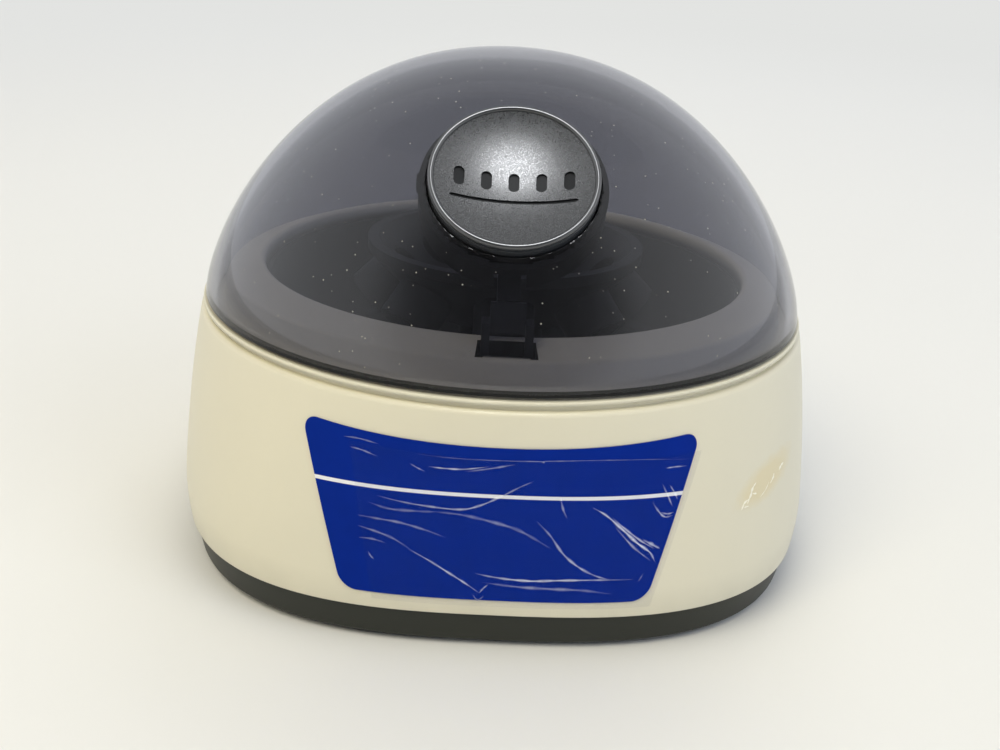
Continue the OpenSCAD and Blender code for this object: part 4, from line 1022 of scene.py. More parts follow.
class CENTRIFUGE_OT_tray(Operator):
    """Make the grey base tray with its posts, vents and screw holes, and its rubber feet"""

    bl_idname = "centrifuge.tray"
    bl_label = "Base tray and feet"

    def execute(self, context):
        s = sizes()
        foot, seam, wall = TRAY_FOOT, s.seam_height, s.wall
        edge, floor, gap, spigot = 0.6 * MM, 3.9 * MM, 0.25 * MM, 3 * MM
        rings = [tray_plan(foot, edge)]
        rings += [tray_plan(foot + edge * (1 - math.cos(a)), edge * (1 - math.sin(a)))
                  for a in np.radians([30, 60, 90])]
        rings += [tray_plan(z) for z in np.linspace(foot + 2 * edge, seam - gap, 8)]
        rings += [tray_plan(seam, gap), body_plan(seam, wall + gap), body_plan(seam + spigot, wall + gap),
                  body_plan(seam + spigot, 2 * wall), tray_plan(floor, wall + 1 * MM)]
        tray = lofted("base_tray_shell", rings, capped=True)
        bosses, mounts, stands, root = boss_places(), mount_places(), board_places(), floor - 1 * MM
        carve(tray, "UNION",
              *uprights("boss", 4 * MM, bosses, root, 12 * MM, 40),
              *uprights("post", 5 * MM, mounts, root, 26 * MM, 40),
              *uprights("stand", 3 * MM, stands, root, 9 * MM, 32))
        vents = grown("vents", bar_tree(finish("tray")), Count=7, Pitch=5.5 * MM, Width=3 * MM,
                      Height=30 * MM, Depth=20 * MM)
        vents.data.transform(Matrix.Translation((0, 0, -5 * MM)))
        carve(tray, "DIFFERENCE",
              *uprights("counterbore", 3.35 * MM, bosses, -1 * MM, 8 * MM, 48),
              *uprights("hole", 1.7 * MM, bosses, 1 * MM, 20 * MM),
              *uprights("pocket", 8.25 * MM, foot_places(), -1 * MM, 2.5 * MM, 64),
              *uprights("pilot", 1.5 * MM, mounts, 12 * MM, 30 * MM),
              *uprights("pilot", 1.2 * MM, stands, 5 * MM, 12 * MM), vents)
        soften(tray)
        finish_piece(tray, finish("tray"), "base", "grey_abs", "base_tray")
        self.feet()
        return {"FINISHED"}

    def feet(self):
        """Four round feet with hollow soles."""
        r, top, edge, hollow = 8 * MM, 2.5 * MM, 0.6 * MM, 0.25 * MM
        profile = [(0, hollow), (r - 3 * MM, hollow), (r - 2.6 * MM, 0)]
        profile += arc((r - edge, edge), edge, -90, 0) + [(r, top), (0, top)]
        feet, *more = [turned("rubber_feet_set", profile, 96, Matrix.Translation((x, y, 0)))
                       for x, y in foot_places()]
        carve(feet, "UNION", *more)
        soften(feet)
        finish_piece(feet, finish("rubber"), "base", "black_rubber", "rubber_feet")


class CENTRIFUGE_OT_label(Operator):
    """Make the blue front label and the creased clear film on it"""

    bl_idname = "centrifuge.label"
    bl_label = "Front label"

    def execute(self, context):
        label = self.sheet("front_label_print", 96, 64, self.label_point, 0.25 * MM)
        soften(label)
        finish_piece(label, finish("label"), "base", "blue_film", "front_label")
        film = self.sheet("label_film", 120, 60, self.film_point, 0.02 * MM)
        soften(film)
        finish_piece(film, finish("film"), "base", "blue_film")
        # The film's creases are painted with white glints along their crests
        self.ribbons("label_film_crease_glints", CREASES, 0.4, finish("crease_glint"), "blue_film")
        self.ribbons("adhesive_flakes", FLAKES, 0.0, finish("flake"), "ivory_abs")
        return {"FINISHED"}

    def ribbons(self, name, rows, base, coat, slot):
        """One low tapered ribbon along each path on the front, with its painted glint strongest along its
        crest.
        """
        across = (-1.0, -0.6, -0.25, 0.0, 0.25, 0.6, 1.0)
        edge, crest = 0.02, 0.08
        ring = [(a, base + edge + crest * (1 - a * a), 1 - abs(a)) for a in across]
        ring += [(1.0, base, 0.0), (-1.0, base, 0.0)]
        points, faces, whitened = [], [], []
        for strength, wide, *knots in rows:
            path = self.smooth(np.array(knots))
            run = np.gradient(path, axis=0)
            side = np.stack([-run[:, 1], run[:, 0]], 1) / np.linalg.norm(run, axis=1)[:, None]
            first, last, n = len(points), len(path) - 1, len(ring)
            for k, place in enumerate(path):
                taper = math.sin(math.pi * (0.02 + 0.96 * k / last)) ** 0.6
                half = wide * taper * (0.75 + 0.25 * math.sin(0.9 * k + knots[0][0]))
                for a, lift, core in ring:
                    x, z = (place + a * half * side[k]) * MM
                    points.append((x, front_face(x, z) - lift * MM, z))
                    whitened.append(strength * core * taper)
            rings = [[first + k * n + i for i in range(n)] for k in range(last + 1)]
            faces += [(p[i], p[(i + 1) % n], q[(i + 1) % n], q[i]) for p, q in zip(rings, rings[1:])
                      for i in range(n)]
            faces += [tuple(rings[0])[::-1], tuple(rings[-1])]
        made = solid(name, points, faces, whitened=whitened)
        soften(made)
        finish_piece(made, coat, "base", slot)

    def smooth(self, knots, steps=8):
        """A smooth path through the knots."""
        ends = [2 * knots[0] - knots[1], *knots, 2 * knots[-1] - knots[-2]]
        path = []
        for a, b, c, d in zip(ends, ends[1:], ends[2:], ends[3:]):
            slope, bend, twist = c - a, 2 * a - 5 * b + 4 * c - d, 3 * (b - c) + d - a
            path += [b + (slope * t + bend * t ** 2 + twist * t ** 3) / 2 for t in np.arange(steps) / steps]
        return np.array([*path, knots[-1]])

    def sheet(self, name, columns, rows, place, thickness):
        """A thin closed sheet on the housing's front: place gives x, z and lift for two shares."""
        points, faces = [], []
        for back in (False, True):
            for j in range(rows + 1):
                for i in range(columns + 1):
                    x, z, lift = place(2 * i / columns - 1, j / rows)
                    points.append((x, front_face(x, z) - lift - (0 if back else thickness), z))
        wide, layer = columns + 1, (columns + 1) * (rows + 1)
        for j in range(rows):
            for i in range(columns):
                a = j * wide + i
                quad = (a, a + 1, a + wide + 1, a + wide)
                faces += [quad, tuple(layer + k for k in reversed(quad))]
        rim = [*range(columns), *(j * wide + columns for j in range(rows)),
               *(rows * wide + i for i in range(columns, 0, -1)), *(j * wide for j in range(rows, 0, -1))]
        faces += [(b, a, a + layer, b + layer) for a, b in zip(rim, rim[1:] + rim[:1])]
        return solid(name, points, faces)

    def label_point(self, across, up):
        """The label has round corners, and its upper edge dips in the middle."""
        s = sizes()
        foot, top, corner, dip, lift = 13 * MM, 50 * MM, 3.5 * MM, 1 * MM, 0.12 * MM
        t = (1 - math.cos(math.pi * up)) / 2
        edge = min(t, 1 - t) * (top - foot)
        cut = 0 if edge >= corner else corner - math.sqrt(2 * corner * edge - edge * edge)
        x = across * (mix(s.label_foot, s.label_top, t) - cut)
        return x, foot + t * (top - foot - dip * (1 - across * across)), lift

    def film_point(self, across, up):
        """The film sits a little low and to the right of the label."""
        left, right = mix(-27 * MM, -33 * MM, up), mix(35 * MM, 44.5 * MM, up)
        foot, top, lean, lift = 11.5 * MM, 46.4 * MM, 0.5 * MM, 0.38 * MM
        return mix(left, right, (across + 1) / 2), mix(foot, top - lean * across, up), lift


# Creases of the film: strength of the painted glint, half width, then places across and up the front, in
# millimetres
CREASES = (
    (0.85, 0.30, (-15.5, 43.8), (-12, 43.7), (-7.7, 43.9), (-2.7, 44.8)),
    (0.35, 0.35, (-7.7, 43.3), (-1.3, 44.6), (2.9, 45.6)),
    (0.55, 0.40, (-26.4, 35.7), (-21.4, 35.1), (-16, 34.7), (-8.4, 34.5), (-4.1, 35.7), (0.1, 37.9),
     (4.3, 40.4), (7.1, 41.8)),
    (0.22, 0.50, (-28.3, 33.9), (-23.6, 33.1), (-17.6, 33.3), (-12.7, 33.6)),
    (0.30, 0.45, (-30.6, 30.6), (-26.8, 30.5), (-21.3, 30.2), (-15.8, 29.1), (-11.3, 27.7)),
    (0.30, 0.45, (-30.5, 28.2), (-26.7, 27.5), (-22.8, 26.4), (-18.9, 24.3)),
    (0.30, 0.35, (-30.2, 25.5), (-27.2, 25.6), (-24.4, 25.1)),
    (0.60, 0.25, (-28.1, 22.6), (-27.5, 21.6), (-26.7, 20.9)),
    (0.70, 0.40, (-19.3, 24.3), (-14.4, 21.8), (-9.9, 19.1), (-6.5, 17), (-3.3, 14.8)),
    (0.65, 0.30, (-3.3, 14.7), (-2.6, 15.8), (-1.4, 17)),
    (0.40, 0.25, (-4.7, 14.3), (-3.6, 13.1), (-2.2, 14.1)),
    (0.75, 0.45, (-4.4, 19.5), (-1.1, 18.9), (3.3, 18.4), (8.3, 18.2), (14.4, 18.5), (22.1, 18.6),
     (30.6, 18.4)),
    (0.35, 0.55, (-2.7, 17.4), (4.5, 16.7), (12.3, 16.4), (19.5, 16.1), (26, 15.1)),
    (0.28, 0.60, (-14.8, 33.6), (-8.3, 33.3), (-1.8, 32.1), (3.7, 30.6), (7.7, 28.6), (11.6, 26.2)),
    (0.65, 0.45, (8.4, 32.5), (11.5, 29.2), (14.5, 25), (18, 21.9), (22.1, 19.6), (26.1, 18.4)),
    (0.35, 0.40, (13.2, 38), (13.8, 35.7), (14.9, 33.2)),
    (0.95, 0.50, (20.4, 35.7), (23.5, 33.8), (27.4, 30.3), (31, 26.9), (34, 24.5), (35.4, 22)),
    (0.75, 0.35, (24.9, 33.2), (27.9, 30.5), (31.6, 27.5), (34.9, 25.3)),
    (0.70, 0.55, (32.2, 27.6), (34.2, 26.4), (36.2, 25.2)),
    (0.45, 0.40, (25.7, 31), (30, 26.2), (34.3, 22.5)),
    (0.60, 0.35, (33.6, 36.2), (35.2, 33.9), (36.8, 32.4), (38.6, 32.5)),
    (0.55, 0.30, (35.6, 40.1), (37.2, 37), (38.4, 34.5)),
    (0.65, 0.30, (37.4, 39.5), (38.8, 37.4), (39.4, 36)),
    (0.55, 0.30, (35.6, 33.6), (37.4, 33), (38.8, 33.2)),
    (0.75, 0.25, (36.1, 43.4), (38.3, 43.4), (41, 43.2)),
    (0.35, 0.30, (-34.3, 47.5), (-30.7, 47.7), (-26.5, 47.3)),
    (0.40, 0.30, (-32.8, 45.5), (-30, 45.3), (-26.7, 44.5)),
    (0.45, 0.25, (-19.6, 44), (-17.9, 43.2), (-16.3, 42.6)),
    (0.40, 0.25, (32.8, 19.6), (32.4, 18.7), (31.9, 17.8)),
    (0.30, 0.20, (-18, 46.3), (-11, 46.2), (-0.9, 46.3), (8.2, 46.4), (9, 46.1), (9.8, 46.5),
     (21.2, 46.5), (32.4, 45.8), (41.6, 44.6)),
)
# Flakes of dried adhesive on the right of the front, in the same terms
FLAKES = (
    (1.0, 0.30, (55.9, 29.6), (56.6, 31.0), (57.8, 31.5)),
    (1.0, 0.35, (57.4, 30.6), (58.2, 32.2), (58.6, 33.6), (59.5, 34.6)),
    (1.0, 0.25, (58.7, 32.4), (59.8, 32.0)),
    (1.0, 0.15, (61.0, 30.8), (62.4, 31.8), (63.4, 33.2)),
    (1.0, 0.25, (63.8, 32.6), (64.6, 33.6), (64.8, 34.4)),
    (1.0, 0.35, (66.4, 34.2), (67.0, 35.0), (67.8, 35.2)),
    (1.0, 0.20, (56.6, 30.0), (57.8, 29.9)),
)


class CENTRIFUGE_OT_lid(Operator):
    """Make the smoked dome with its hinge lug and the hole for the button"""

    bl_idname = "centrifuge.lid"
    bl_label = "Lid"

    def execute(self, context):
        s = sizes()
        dome = grown("lid_dome_clear", dome_tree(finish("smoke")), **{
            "Rim Radius": s.lid_radius, "Rim Height": s.lid_height, "Rise": s.dome_rise, "Wall": s.dome_wall,
            "Side": s.dome_side, "Top": s.dome_top})
        lug = self.lug()
        carve(lug, "DIFFERENCE", self.core())
        carve(dome, "UNION", lug)
        place, hole_r, reach = button_place(), s.button_radius + 0.5 * MM, 30 * MM
        outline = [(hole_r * math.cos(a), hole_r * math.sin(a)) for a in TURN]
        hole = prism("hole", outline, 2 * reach, place @ Matrix.Translation((0, 0, -reach)))
        y, z = hinge_place()
        pin = rod("pin", 1.55 * MM, (-reach, y, z), (reach, y, z))
        carve(dome, "DIFFERENCE", hole, pin)
        soften(dome, 0.25 * MM, 3)
        finish_piece(dome, finish("smoke"), "lid", "smoked_acrylic", "lid_dome")
        # Seen along its wall, the rim and the edge of the hole let nothing through
        back, low, lug_y = place.inverted(), s.lid_height + 0.9 * MM, s.lid_radius - 8 * MM
        accent(dome, "rim", lambda face: (face.center.z < low and face.center.y < lug_y)
               or (back @ face.center).xy.length < hole_r + 0.1 * MM)
        return {"FINISHED"}

    def lug(self):
        """The lug that holds the hinge pin, run on into the dome."""
        y, z = hinge_place()
        r, half, reach = 3.4 * MM, 13.6 * MM, -12 * MM
        outline = arc((0, 0), r, -100, 90, 30)
        outline += [(reach + 1 * MM, r + 2 * MM), (reach, 0), (reach + 2 * MM, -2.8 * MM)]
        turn = Matrix(((0, 0, 1, -half), (1, 0, 0, y), (0, 1, 0, z), (0, 0, 0, 1)))
        return prism("lug", outline, 2 * half, turn)

    def core(self):
        """The space under the dome, just short of the inner skin, which trims the lug."""
        s = sizes()
        inset, foot = s.dome_wall * 0.6, s.lid_height - 5 * MM
        climb = np.linspace(0, math.pi / 2, 40)
        profile = [(0, foot), (s.lid_radius - inset, foot)]
        profile += [((s.lid_radius - inset) * max(math.cos(t), 0) ** (2 / s.dome_side),
                     s.lid_height + (s.dome_rise - inset) * math.sin(t) ** (2 / s.dome_top)) for t in climb]
        return turned("core", profile, 128)


class CENTRIFUGE_OT_button(Operator):
    """Make the dished press button with its polished bead and sunk marks, its spring and its guide"""

    bl_idname = "centrifuge.button"
    bl_label = "Button, spring and guide"

    def execute(self, context):
        s = sizes()
        place, r, bead, crest = button_place(), s.button_radius, 0.7 * MM, 0.5 * MM
        face_r, dish = r - 2 * bead, s.dish_radius
        dish_z = crest - bead + math.sqrt(dish ** 2 - face_r ** 2)
        under, skirt, wall, steps = dish_z - dish - 2 * MM, -8 * MM, 2 * MM, 40

        def floor(x):
            return dish_z - math.sqrt(dish ** 2 - x * x)

        profile = [(face_r * i / steps, floor(face_r * i / steps)) for i in range(steps + 1)]
        foot, cut = crest - bead, r - 0.35 * MM
        profile += arc((r - bead, foot), bead, 165, 0, 20)
        # A narrow groove parts the bead from the skirt
        profile += [(r, foot - 0.25 * MM), (cut, foot - 0.4 * MM), (cut, foot - 0.65 * MM),
                    (r, foot - 0.8 * MM)]
        profile += [(r, skirt), (r - wall, skirt), (r - wall, under), (0, under)]
        button = turned("press_button_cap", profile)
        # The row of marks spans about two thirds of the dish
        pitch = 1.38 * face_r / max(1, s.mark_count - 1)
        marks = grown("marks", bar_tree(finish("mark")), Count=s.mark_count, Width=2.4 * MM, Height=4.8 * MM,
                      Pitch=pitch, Depth=6 * MM, Sag=0.3 * MM)
        marks.data.transform(Matrix.Translation((0, 0.4 * MM, floor(0) - 0.1 * MM)))
        self.follow(marks, floor, 0.5 * MM)
        carve(button, "DIFFERENCE", marks, self.line(floor))
        pusher = block("pusher", (-3 * MM, 10 * MM, -13.1 * MM), (3 * MM, 14 * MM, under + 0.3 * MM))
        carve(button, "UNION", pusher)
        self.finishes(button, face_r, floor)
        button.data.transform(place)
        soften(button)
        finish_piece(button, None, "button", "button_grey", "press_button")
        self.spring(place)
        guide = refined("latch_housing", 0.25 * MM)
        finish_piece(guide, finish("nylon"), "lid", "black_nylon", "latch_housing")
        return {"FINISHED"}

    def follow(self, tool, floor, depth):
        """Sets a tool's lower face at one depth under the dish."""
        low = min(v.co.z for v in tool.data.vertices)
        for v in tool.data.vertices:
            if v.co.z < low + SAME_GROWN:
                v.co.z = floor(math.hypot(v.co.x, v.co.y)) - depth

    def line(self, floor):
        """Tool for the bowed line under the marks, one cross-section after another."""
        half, width, drop, bow, deep, top = 14 * MM, 0.45 * MM, 4.9 * MM, 0.25 * MM, 0.45 * MM, 3 * MM
        rings = []
        for x in np.linspace(-half, half, 60):
            y = bow * (x / half) ** 2 - drop
            # Round ends
            side = width * math.sqrt(max(0.02, 1 - max(0, (abs(x) - half + width) / width) ** 2))
            low = [floor(math.hypot(x, y + k * side)) - deep for k in (-1, 1)]
            rings.append(np.array([(x, y - side, low[0]), (x, y + side, low[1]), (x, y + side, top),
                                   (x, y - side, top)]))
        return lofted("line", rings, capped=True)

    def finishes(self, button, face_r, floor):
        """Grain on the dish, dark sunk marks, and polish on the bead and the skirt."""
        button.data.materials.clear()
        for name in ("bead", "grain", "mark"):
            button.data.materials.append(finish(name))
        skin, marks_end = 0.02 * MM, 0.7 * MM
        for face in button.data.polygons:
            r = math.hypot(face.center.x, face.center.y)
            deep = floor(r) - face.center.z if r < face_r else 1
            face.material_index = 0 if deep > marks_end else 1 if deep < skin else 2

    def spring(self, place):
        """The spring under the button."""
        wire, low, high = 0.45 * MM, -10.45 * MM, -6.41 * MM
        coil = grown("button_spring_coil", spring_tree(finish("wire")), **{
            "Radius": 8 * MM, "Wire Radius": wire, "Height": high - low, "Turns": 3.0})
        coil.data.transform(place @ Matrix.Translation((0, 0, low)))
        soften(coil)
        finish_piece(coil, finish("wire"), "lid", "spring_steel", "button_spring")
        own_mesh(coil)


class CENTRIFUGE_OT_latch(Operator):
    """Finish the latch lever, the pins and the lid switch"""

    bl_idname = "centrifuge.latch"
    bl_label = "Latch and lid switch"

    def execute(self, context):
        finish_nodes(
            ("latch_lever", 0.25, "lever", "latch", "black_nylon"),
            ("latch_pin", 0.2, "shaft", "lid", "shaft_steel"),
            ("hinge_pin", 0.3, "shaft", "base", "shaft_steel"),
            ("lid_switch", 0.25, "nylon", "base", "black_nylon"),
            ("switch_plunger", 0.25, "plunger", "plunger", "red_acetal"))
        return {"FINISHED"}


class CENTRIFUGE_OT_chamber(Operator):
    """Finish the bowl and the shaft seal"""

    bl_idname = "centrifuge.chamber"
    bl_label = "Chamber"

    def execute(self, context):
        finish_nodes(
            ("chamber_bowl", 0.3, "bowl", "base", "dark_abs"),
            ("shaft_seal", 0.15, "rubber", "base", "black_rubber"))
        return {"FINISHED"}


class CENTRIFUGE_OT_spindle(Operator):
    """Finish the shaft, the adapter, the tube rotor and its nut"""

    bl_idname = "centrifuge.spindle"
    bl_label = "Rotor and spindle"

    def execute(self, context):
        finish_nodes(
            ("motor_shaft", 0.25, "shaft", "spindle", "shaft_steel"),
            ("shaft_adapter", 0.25, "alloy", "spindle", "adapter_alloy"),
            ("tube_rotor", 0.3, "rotor", "spindle", "rotor_black"),
            ("rotor_nut", 0.2, "rotor", "spindle", "rotor_black"))
        return {"FINISHED"}


class CENTRIFUGE_OT_drive(Operator):
    """Finish the motor, its plate, the grommets and the control board"""

    bl_idname = "centrifuge.drive"
    bl_label = "Motor and board"

    def execute(self, context):
        *_, parts = finish_nodes(
            ("drive_motor", 0.4, "can", "base", "motor_steel"),
            ("motor_plate", 0.2, "zinc", "base", "zinc_steel"),
            ("motor_grommets", 0.3, "rubber", "base", "black_rubber"),
            ("control_board", 0.1, "board", "base", "board_green"),
            ("board_components", 0.3, "nylon", "base", "black_nylon"))
        # The two capacitors stand on the left, and the lead's socket on the right, towards the front
        left, right, front = -10 * MM, 9 * MM, sizes().rear_reach - 44 * MM
        accent(parts, "sleeve", lambda face: face.center.x < left)
        accent(parts, "socket", lambda face: face.center.x > right and face.center.y < front)
        return {"FINISHED"}


class CENTRIFUGE_OT_rear(Operator):
    """Finish the power inlet, its nut, the switch frame and the rocker with its marks"""

    bl_idname = "centrifuge.rear"
    bl_label = "Rear panel"

    def execute(self, context):
        inlet, *_ = finish_nodes(
            ("power_inlet", 0.25, "nylon", "base", "black_nylon"),
            ("inlet_nut", 0.3, "zinc", "base", "zinc_steel"),
            ("switch_frame", 0.3, "nylon", "base", "black_nylon"),
            ("rocker", 0.4, "rocker", "switch_rocker", "rocker_black"))
        # The pin is steel: every corner of its faces lies close to the inlet's axis
        reach = [math.hypot(v.co.x + FITTING_ACROSS, v.co.z - PANEL_HEIGHT) for v in inlet.data.vertices]
        pin_r = 1.15 * MM
        accent(inlet, "shaft", lambda face: max(reach[i] for i in face.vertices) < pin_r)
        self.marks()
        return {"FINISHED"}

    def marks(self):
        """On and off marks, printed on the rocker's two faces."""
        axis_y, tilt = 80.1 * MM, math.radians(8)
        # Each face runs from the valley at the middle to an edge that stands higher
        valley, climb, run, up = 2.3 * MM, 1 * MM, 7.4 * MM, 3.9 * MM
        lean, stroke, lift = math.atan2(climb, run), 0.08 * MM, 0.02 * MM
        out = valley + up * math.tan(lean) + lift
        inner, outer = 1.1 * MM, 1.7 * MM
        bar = prism("rocker_marks", rounded(0.8 * MM, 3 * MM, 0.39 * MM), stroke, Matrix())
        ring = turned("ring", [(inner, 0), (outer, 0), (outer, stroke), (inner, stroke)], 48)
        place = Matrix.Translation((FITTING_ACROSS, axis_y, PANEL_HEIGHT)) @ Matrix.Rotation(tilt, 4, "X")
        for piece, side in ((bar, 1), (ring, -1)):
            face = Matrix.Translation((0, out, side * up)) @ Matrix.Rotation(-side * lean, 4, "X")
            piece.data.transform(place @ face @ Matrix.Rotation(-math.pi / 2, 4, "X"))
        carve(bar, "UNION", ring)
        soften(bar)
        finish_piece(bar, finish("mark_white"), "switch_rocker", "rocker_black")


class CENTRIFUGE_OT_screws(Operator):
    """Make the screws"""

    bl_idname = "centrifuge.screws"
    bl_label = "Screws"

    def execute(self, context):
        tree = screw_tree(finish("zinc"))
        down, up, sideways = (0, 0, 0), (math.pi, 0, 0), (0, -math.pi / 2, 0)
        # Half way between the bowl's wall and the edge of its flange
        flange = circle((67.0 + 61.7) / 2 * MM, np.arange(6) * 60)
        flange_z = (sizes().deck_height - LAND_DROP) / MM - 2.25
        motor = circle(12.5 * MM, (45, 135, 225, 315))
        switch = [(8.5 * MM, y * MM) for y in (-62.9, -65.9)]
        # Places, height, sizes of head and shank in millimetres, and which way the head points
        rows = (
            ("base_screws", boss_places(), 8, (3.1, 2, 1.45, 18), down),
            ("bowl_screws", flange, flange_z, (2, 1.4, 0.95, 4.2), down),
            ("plate_screws", mount_places(), 32, (5, 1.6, 1.45, 18), up),
            ("motor_screws", motor, 30, (2.6, 1.6, 1.45, 7), up),
            ("board_screws", board_places(), 10.6, (2.3, 1.5, 1.15, 5), up),
            ("switch_screws", switch, 53.8, (1.4, 1.2, 0.9, 17), sideways),
        )
        for node, places, z, (head, tall, shank, long), turn in rows:
            made = grown(node + "_set", tree, [(x, y, z * MM) for x, y in places], **{
                "Head Radius": head * MM, "Head Height": tall * MM, "Shank Radius": shank * MM,
                "Length": long * MM, "Turn": turn})
            soften(made)
            finish_piece(made, finish("zinc"), "base", "zinc_steel", node)
        return {"FINISHED"}


# The pale backdrop that the floor runs into
BACKDROP = "E3E4E2"


class CENTRIFUGE_OT_stage(Operator):
    """Set the floor, the light and the camera"""

    bl_idname = "centrifuge.stage"
    bl_label = "Stage"

    def execute(self, context):
        self.floor()
        self.light()
        self.camera()
        context.scene.view_settings.view_transform = "Standard"
        return {"FINISHED"}

    def floor(self):
        """A pale painted floor, larger than the view."""
        wide, corner, thick = 6, 0.5, 0.01
        floor = prism("studio_floor", rounded(wide, wide, corner), thick, Matrix.Translation((0, 0, -thick)))
        material, tree, coords = shading("painted_floor")
        cloud = add(tree, "ShaderNodeTexNoise", {"Vector": coords, "Scale": per(330), "Detail": 4.0})
        blend = add(tree, "ShaderNodeMix", {
            "Factor_Float": cloud, "A_Color": shade_of(colours().floor, 0.98),
            "B_Color": rgba(colours().floor)}, data_type="RGBA")
        shader = add(tree, "ShaderNodeBsdfPrincipled", {"Base Color": blend, "Roughness": 0.7})
        # Far off it runs into the pale backdrop, so that no edge shows
        reach = add(tree, "ShaderNodeVectorMath", (coords,), operation="LENGTH")
        fade = add(tree, "ShaderNodeMapRange", {"Value": reach, "From Min": 0.35, "From Max": 1.2},
                   interpolation_type="SMOOTHSTEP")
        glow = add(tree, "ShaderNodeEmission", {"Color": rgba(linear(BACKDROP)), "Strength": 1.0})
        both = add(tree, "ShaderNodeMixShader", {"Fac": fade, "Shader": shader, "Shader_001": glow})
        add(tree, "ShaderNodeOutputMaterial", {"Surface": both})
        floor.data.materials.append(material)

    def light(self):
        """A soft room, a pale backdrop and three lamps."""
        world = bpy.data.worlds.new("studio")
        bpy.context.scene.world = world
        world.use_nodes = True
        tree = world.node_tree
        tree.nodes.clear()
        path = add(tree, "ShaderNodeLightPath")
        straight, through = path.outputs["Is Camera Ray"], path.outputs["Is Transmission Ray"]
        seen = add(tree, "ShaderNodeMath", (straight, through), operation="MAXIMUM")
        out = add(tree, "ShaderNodeTexCoord").outputs["Generated"]
        way = add(tree, "ShaderNodeSeparateXYZ", {"Vector": out})
        height = add(tree, "ShaderNodeMath", (way.outputs["Y"], 0.6, way.outputs["Z"]),
                     operation="MULTIPLY_ADD")
        plain = add(tree, "ShaderNodeMapRange", {
            "Value": height, "From Min": -0.3, "From Max": 0.4, "To Min": 0.12, "To Max": 0.75},
            interpolation_type="SMOOTHSTEP")
        # Polish mirrors a bright room that is dim in front, with one soft light high up for the finger dish
        spans = []
        for middle, start, end, low, high in (
                ((0.0, -0.85, 0.53), 0.6, 0.88, 0.8, 0.03),
                ((0.03, -0.27, 0.962), 0.965, 0.993, 0.0, 17.0)):
            toward = add(tree, "ShaderNodeVectorMath", (out, middle), operation="DOT_PRODUCT")
            spans.append(add(tree, "ShaderNodeMapRange", {
                "Value": toward, "From Min": start, "From Max": end, "To Min": low, "To Max": high},
                interpolation_type="SMOOTHSTEP"))
        polish, glow = spans
        lit = add(tree, "ShaderNodeMath", (polish, glow), operation="ADD")
        flank = add(tree, "ShaderNodeMath", (way.outputs["X"], 2.0), operation="POWER")
        mirrored = add(tree, "ShaderNodeMath", (flank, 0.75, lit), operation="MULTIPLY_ADD")
        level = add(tree, "ShaderNodeMix", {
            "Factor_Float": path.outputs["Is Glossy Ray"], "A_Float": plain,
            "B_Float": mirrored}, data_type="FLOAT")
        soft = add(tree, "ShaderNodeBackground", {"Color": rgba(linear("F2F4F7")), "Strength": level})
        pale = add(tree, "ShaderNodeBackground", {"Color": rgba(linear(BACKDROP)), "Strength": 1.0})
        both = add(tree, "ShaderNodeMixShader", {"Fac": seen, "Shader": soft, "Shader_001": pale})
        add(tree, "ShaderNodeOutputWorld", {"Surface": both})
        for name, place, size, watts, hue in (
                ("key", (-0.5, -0.75, 1.1), 0.9, 10.0, "FDF1CC"),
                ("fill", (1.0, -0.8, 0.8), 0.9, 5.5, "E6F0FF"),
                ("back", (0.2, 1.1, 1.0), 0.8, 4.0, "FFFFFF")):
            lamp = bpy.data.lights.new(name, "AREA")
            lamp.energy, lamp.size, lamp.color = watts, size, linear(hue)
            obj = bpy.data.objects.new(name, lamp)
            obj.location = place
            obj.visible_glossy = False
            obj.visible_transmission = False
            aim = Vector((0, 0, 0.06)) - Vector(place)
            obj.rotation_euler = aim.to_track_quat("-Z", "Y").to_euler()
            bpy.context.scene.collection.objects.link(obj)

    def camera(self):
        """The photograph's own view, with the focal length in pixels of a frame 1000 wide."""
        place = Vector((-8.1894, -346.5789, 170.4799)) * MM
        yaw, pitch, roll, focal = 0.0253, 0.3712, 0.057, 1387.09
        ahead = Vector((math.sin(yaw) * math.cos(pitch), math.cos(yaw) * math.cos(pitch), -math.sin(pitch)))
        right = Vector((math.cos(yaw), -math.sin(yaw), 0))
        up = right.cross(ahead)
        roll_cos, roll_sin = math.cos(roll), math.sin(roll)
        right, up = right * roll_cos + up * roll_sin, up * roll_cos - right * roll_sin
        data = bpy.data.cameras.new("photo_view")
        data.sensor_width = 36
        data.lens = focal * data.sensor_width / 1000
        data.clip_start = 0.01
        view = bpy.data.objects.new("photo_view", data)
        turn = Matrix((right, up, -ahead)).transposed().to_4x4()
        view.matrix_world = Matrix.Translation(place) @ turn
        bpy.context.scene.collection.objects.link(view)
        bpy.context.scene.camera = view


STEPS = ("stage", "housing", "tray", "label", "lid", "button", "latch", "chamber", "spindle", "drive", "rear",
         "screws")


class CENTRIFUGE_PT_panel(Panel):
    """Lists the pieces of the centrifuge"""

    bl_label = "Microcentrifuge"
    bl_space_type = "VIEW_3D"
    bl_region_type = "UI"
    bl_category = "Centrifuge"

    def draw(self, context):
        for group in (context.scene.centrifuge_sizes, context.scene.centrifuge_colours):
            box = self.layout.box()
            for key in group.__annotations__:
                box.prop(group, key)
        for step in STEPS:
            self.layout.operator("centrifuge." + step)


CLASSES = (
    CentrifugeSizes, CentrifugeColours, CENTRIFUGE_OT_housing, CENTRIFUGE_OT_tray, CENTRIFUGE_OT_label,
    CENTRIFUGE_OT_lid, CENTRIFUGE_OT_button, CENTRIFUGE_OT_latch, CENTRIFUGE_OT_chamber,
    CENTRIFUGE_OT_spindle, CENTRIFUGE_OT_drive, CENTRIFUGE_OT_rear, CENTRIFUGE_OT_screws,
    CENTRIFUGE_OT_stage, CENTRIFUGE_PT_panel,
)


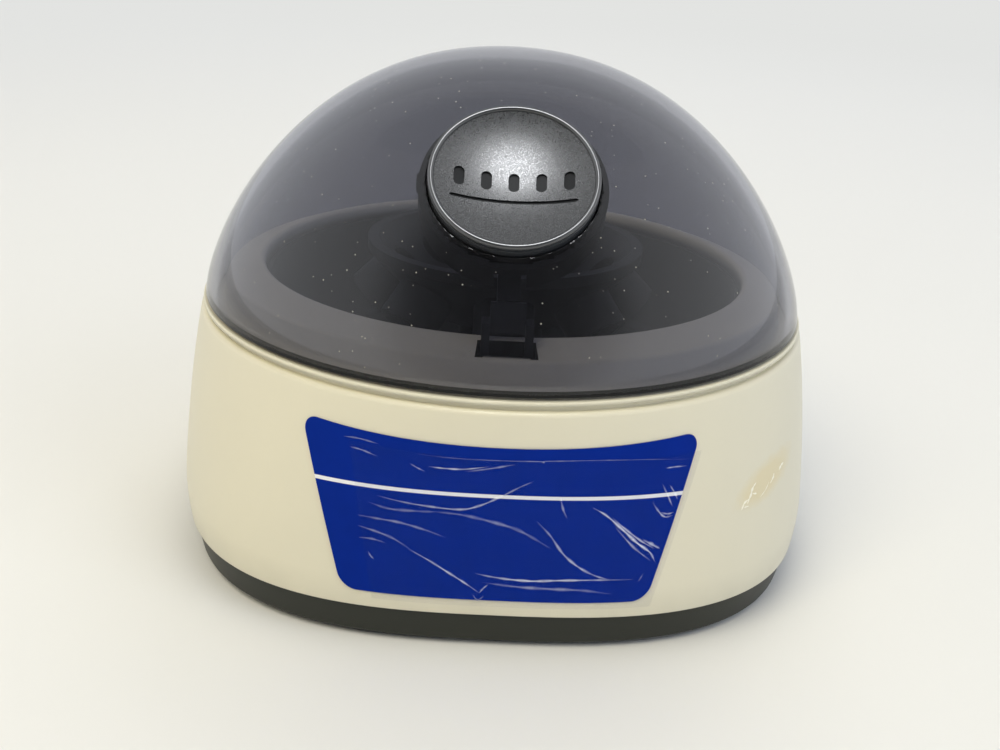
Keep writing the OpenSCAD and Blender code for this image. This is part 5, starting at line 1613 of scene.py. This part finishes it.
def register():
    for cls in CLASSES:
        bpy.utils.register_class(cls)
    bpy.types.Scene.centrifuge_sizes = PointerProperty(type=CentrifugeSizes)
    bpy.types.Scene.centrifuge_colours = PointerProperty(type=CentrifugeColours)


def unregister():
    del bpy.types.Scene.centrifuge_colours
    del bpy.types.Scene.centrifuge_sizes
    for cls in reversed(CLASSES):
        bpy.utils.unregister_class(cls)


def main():
    register()
    for step in STEPS:
        getattr(bpy.ops.centrifuge, step)()


if __name__ == "__main__":
    main()
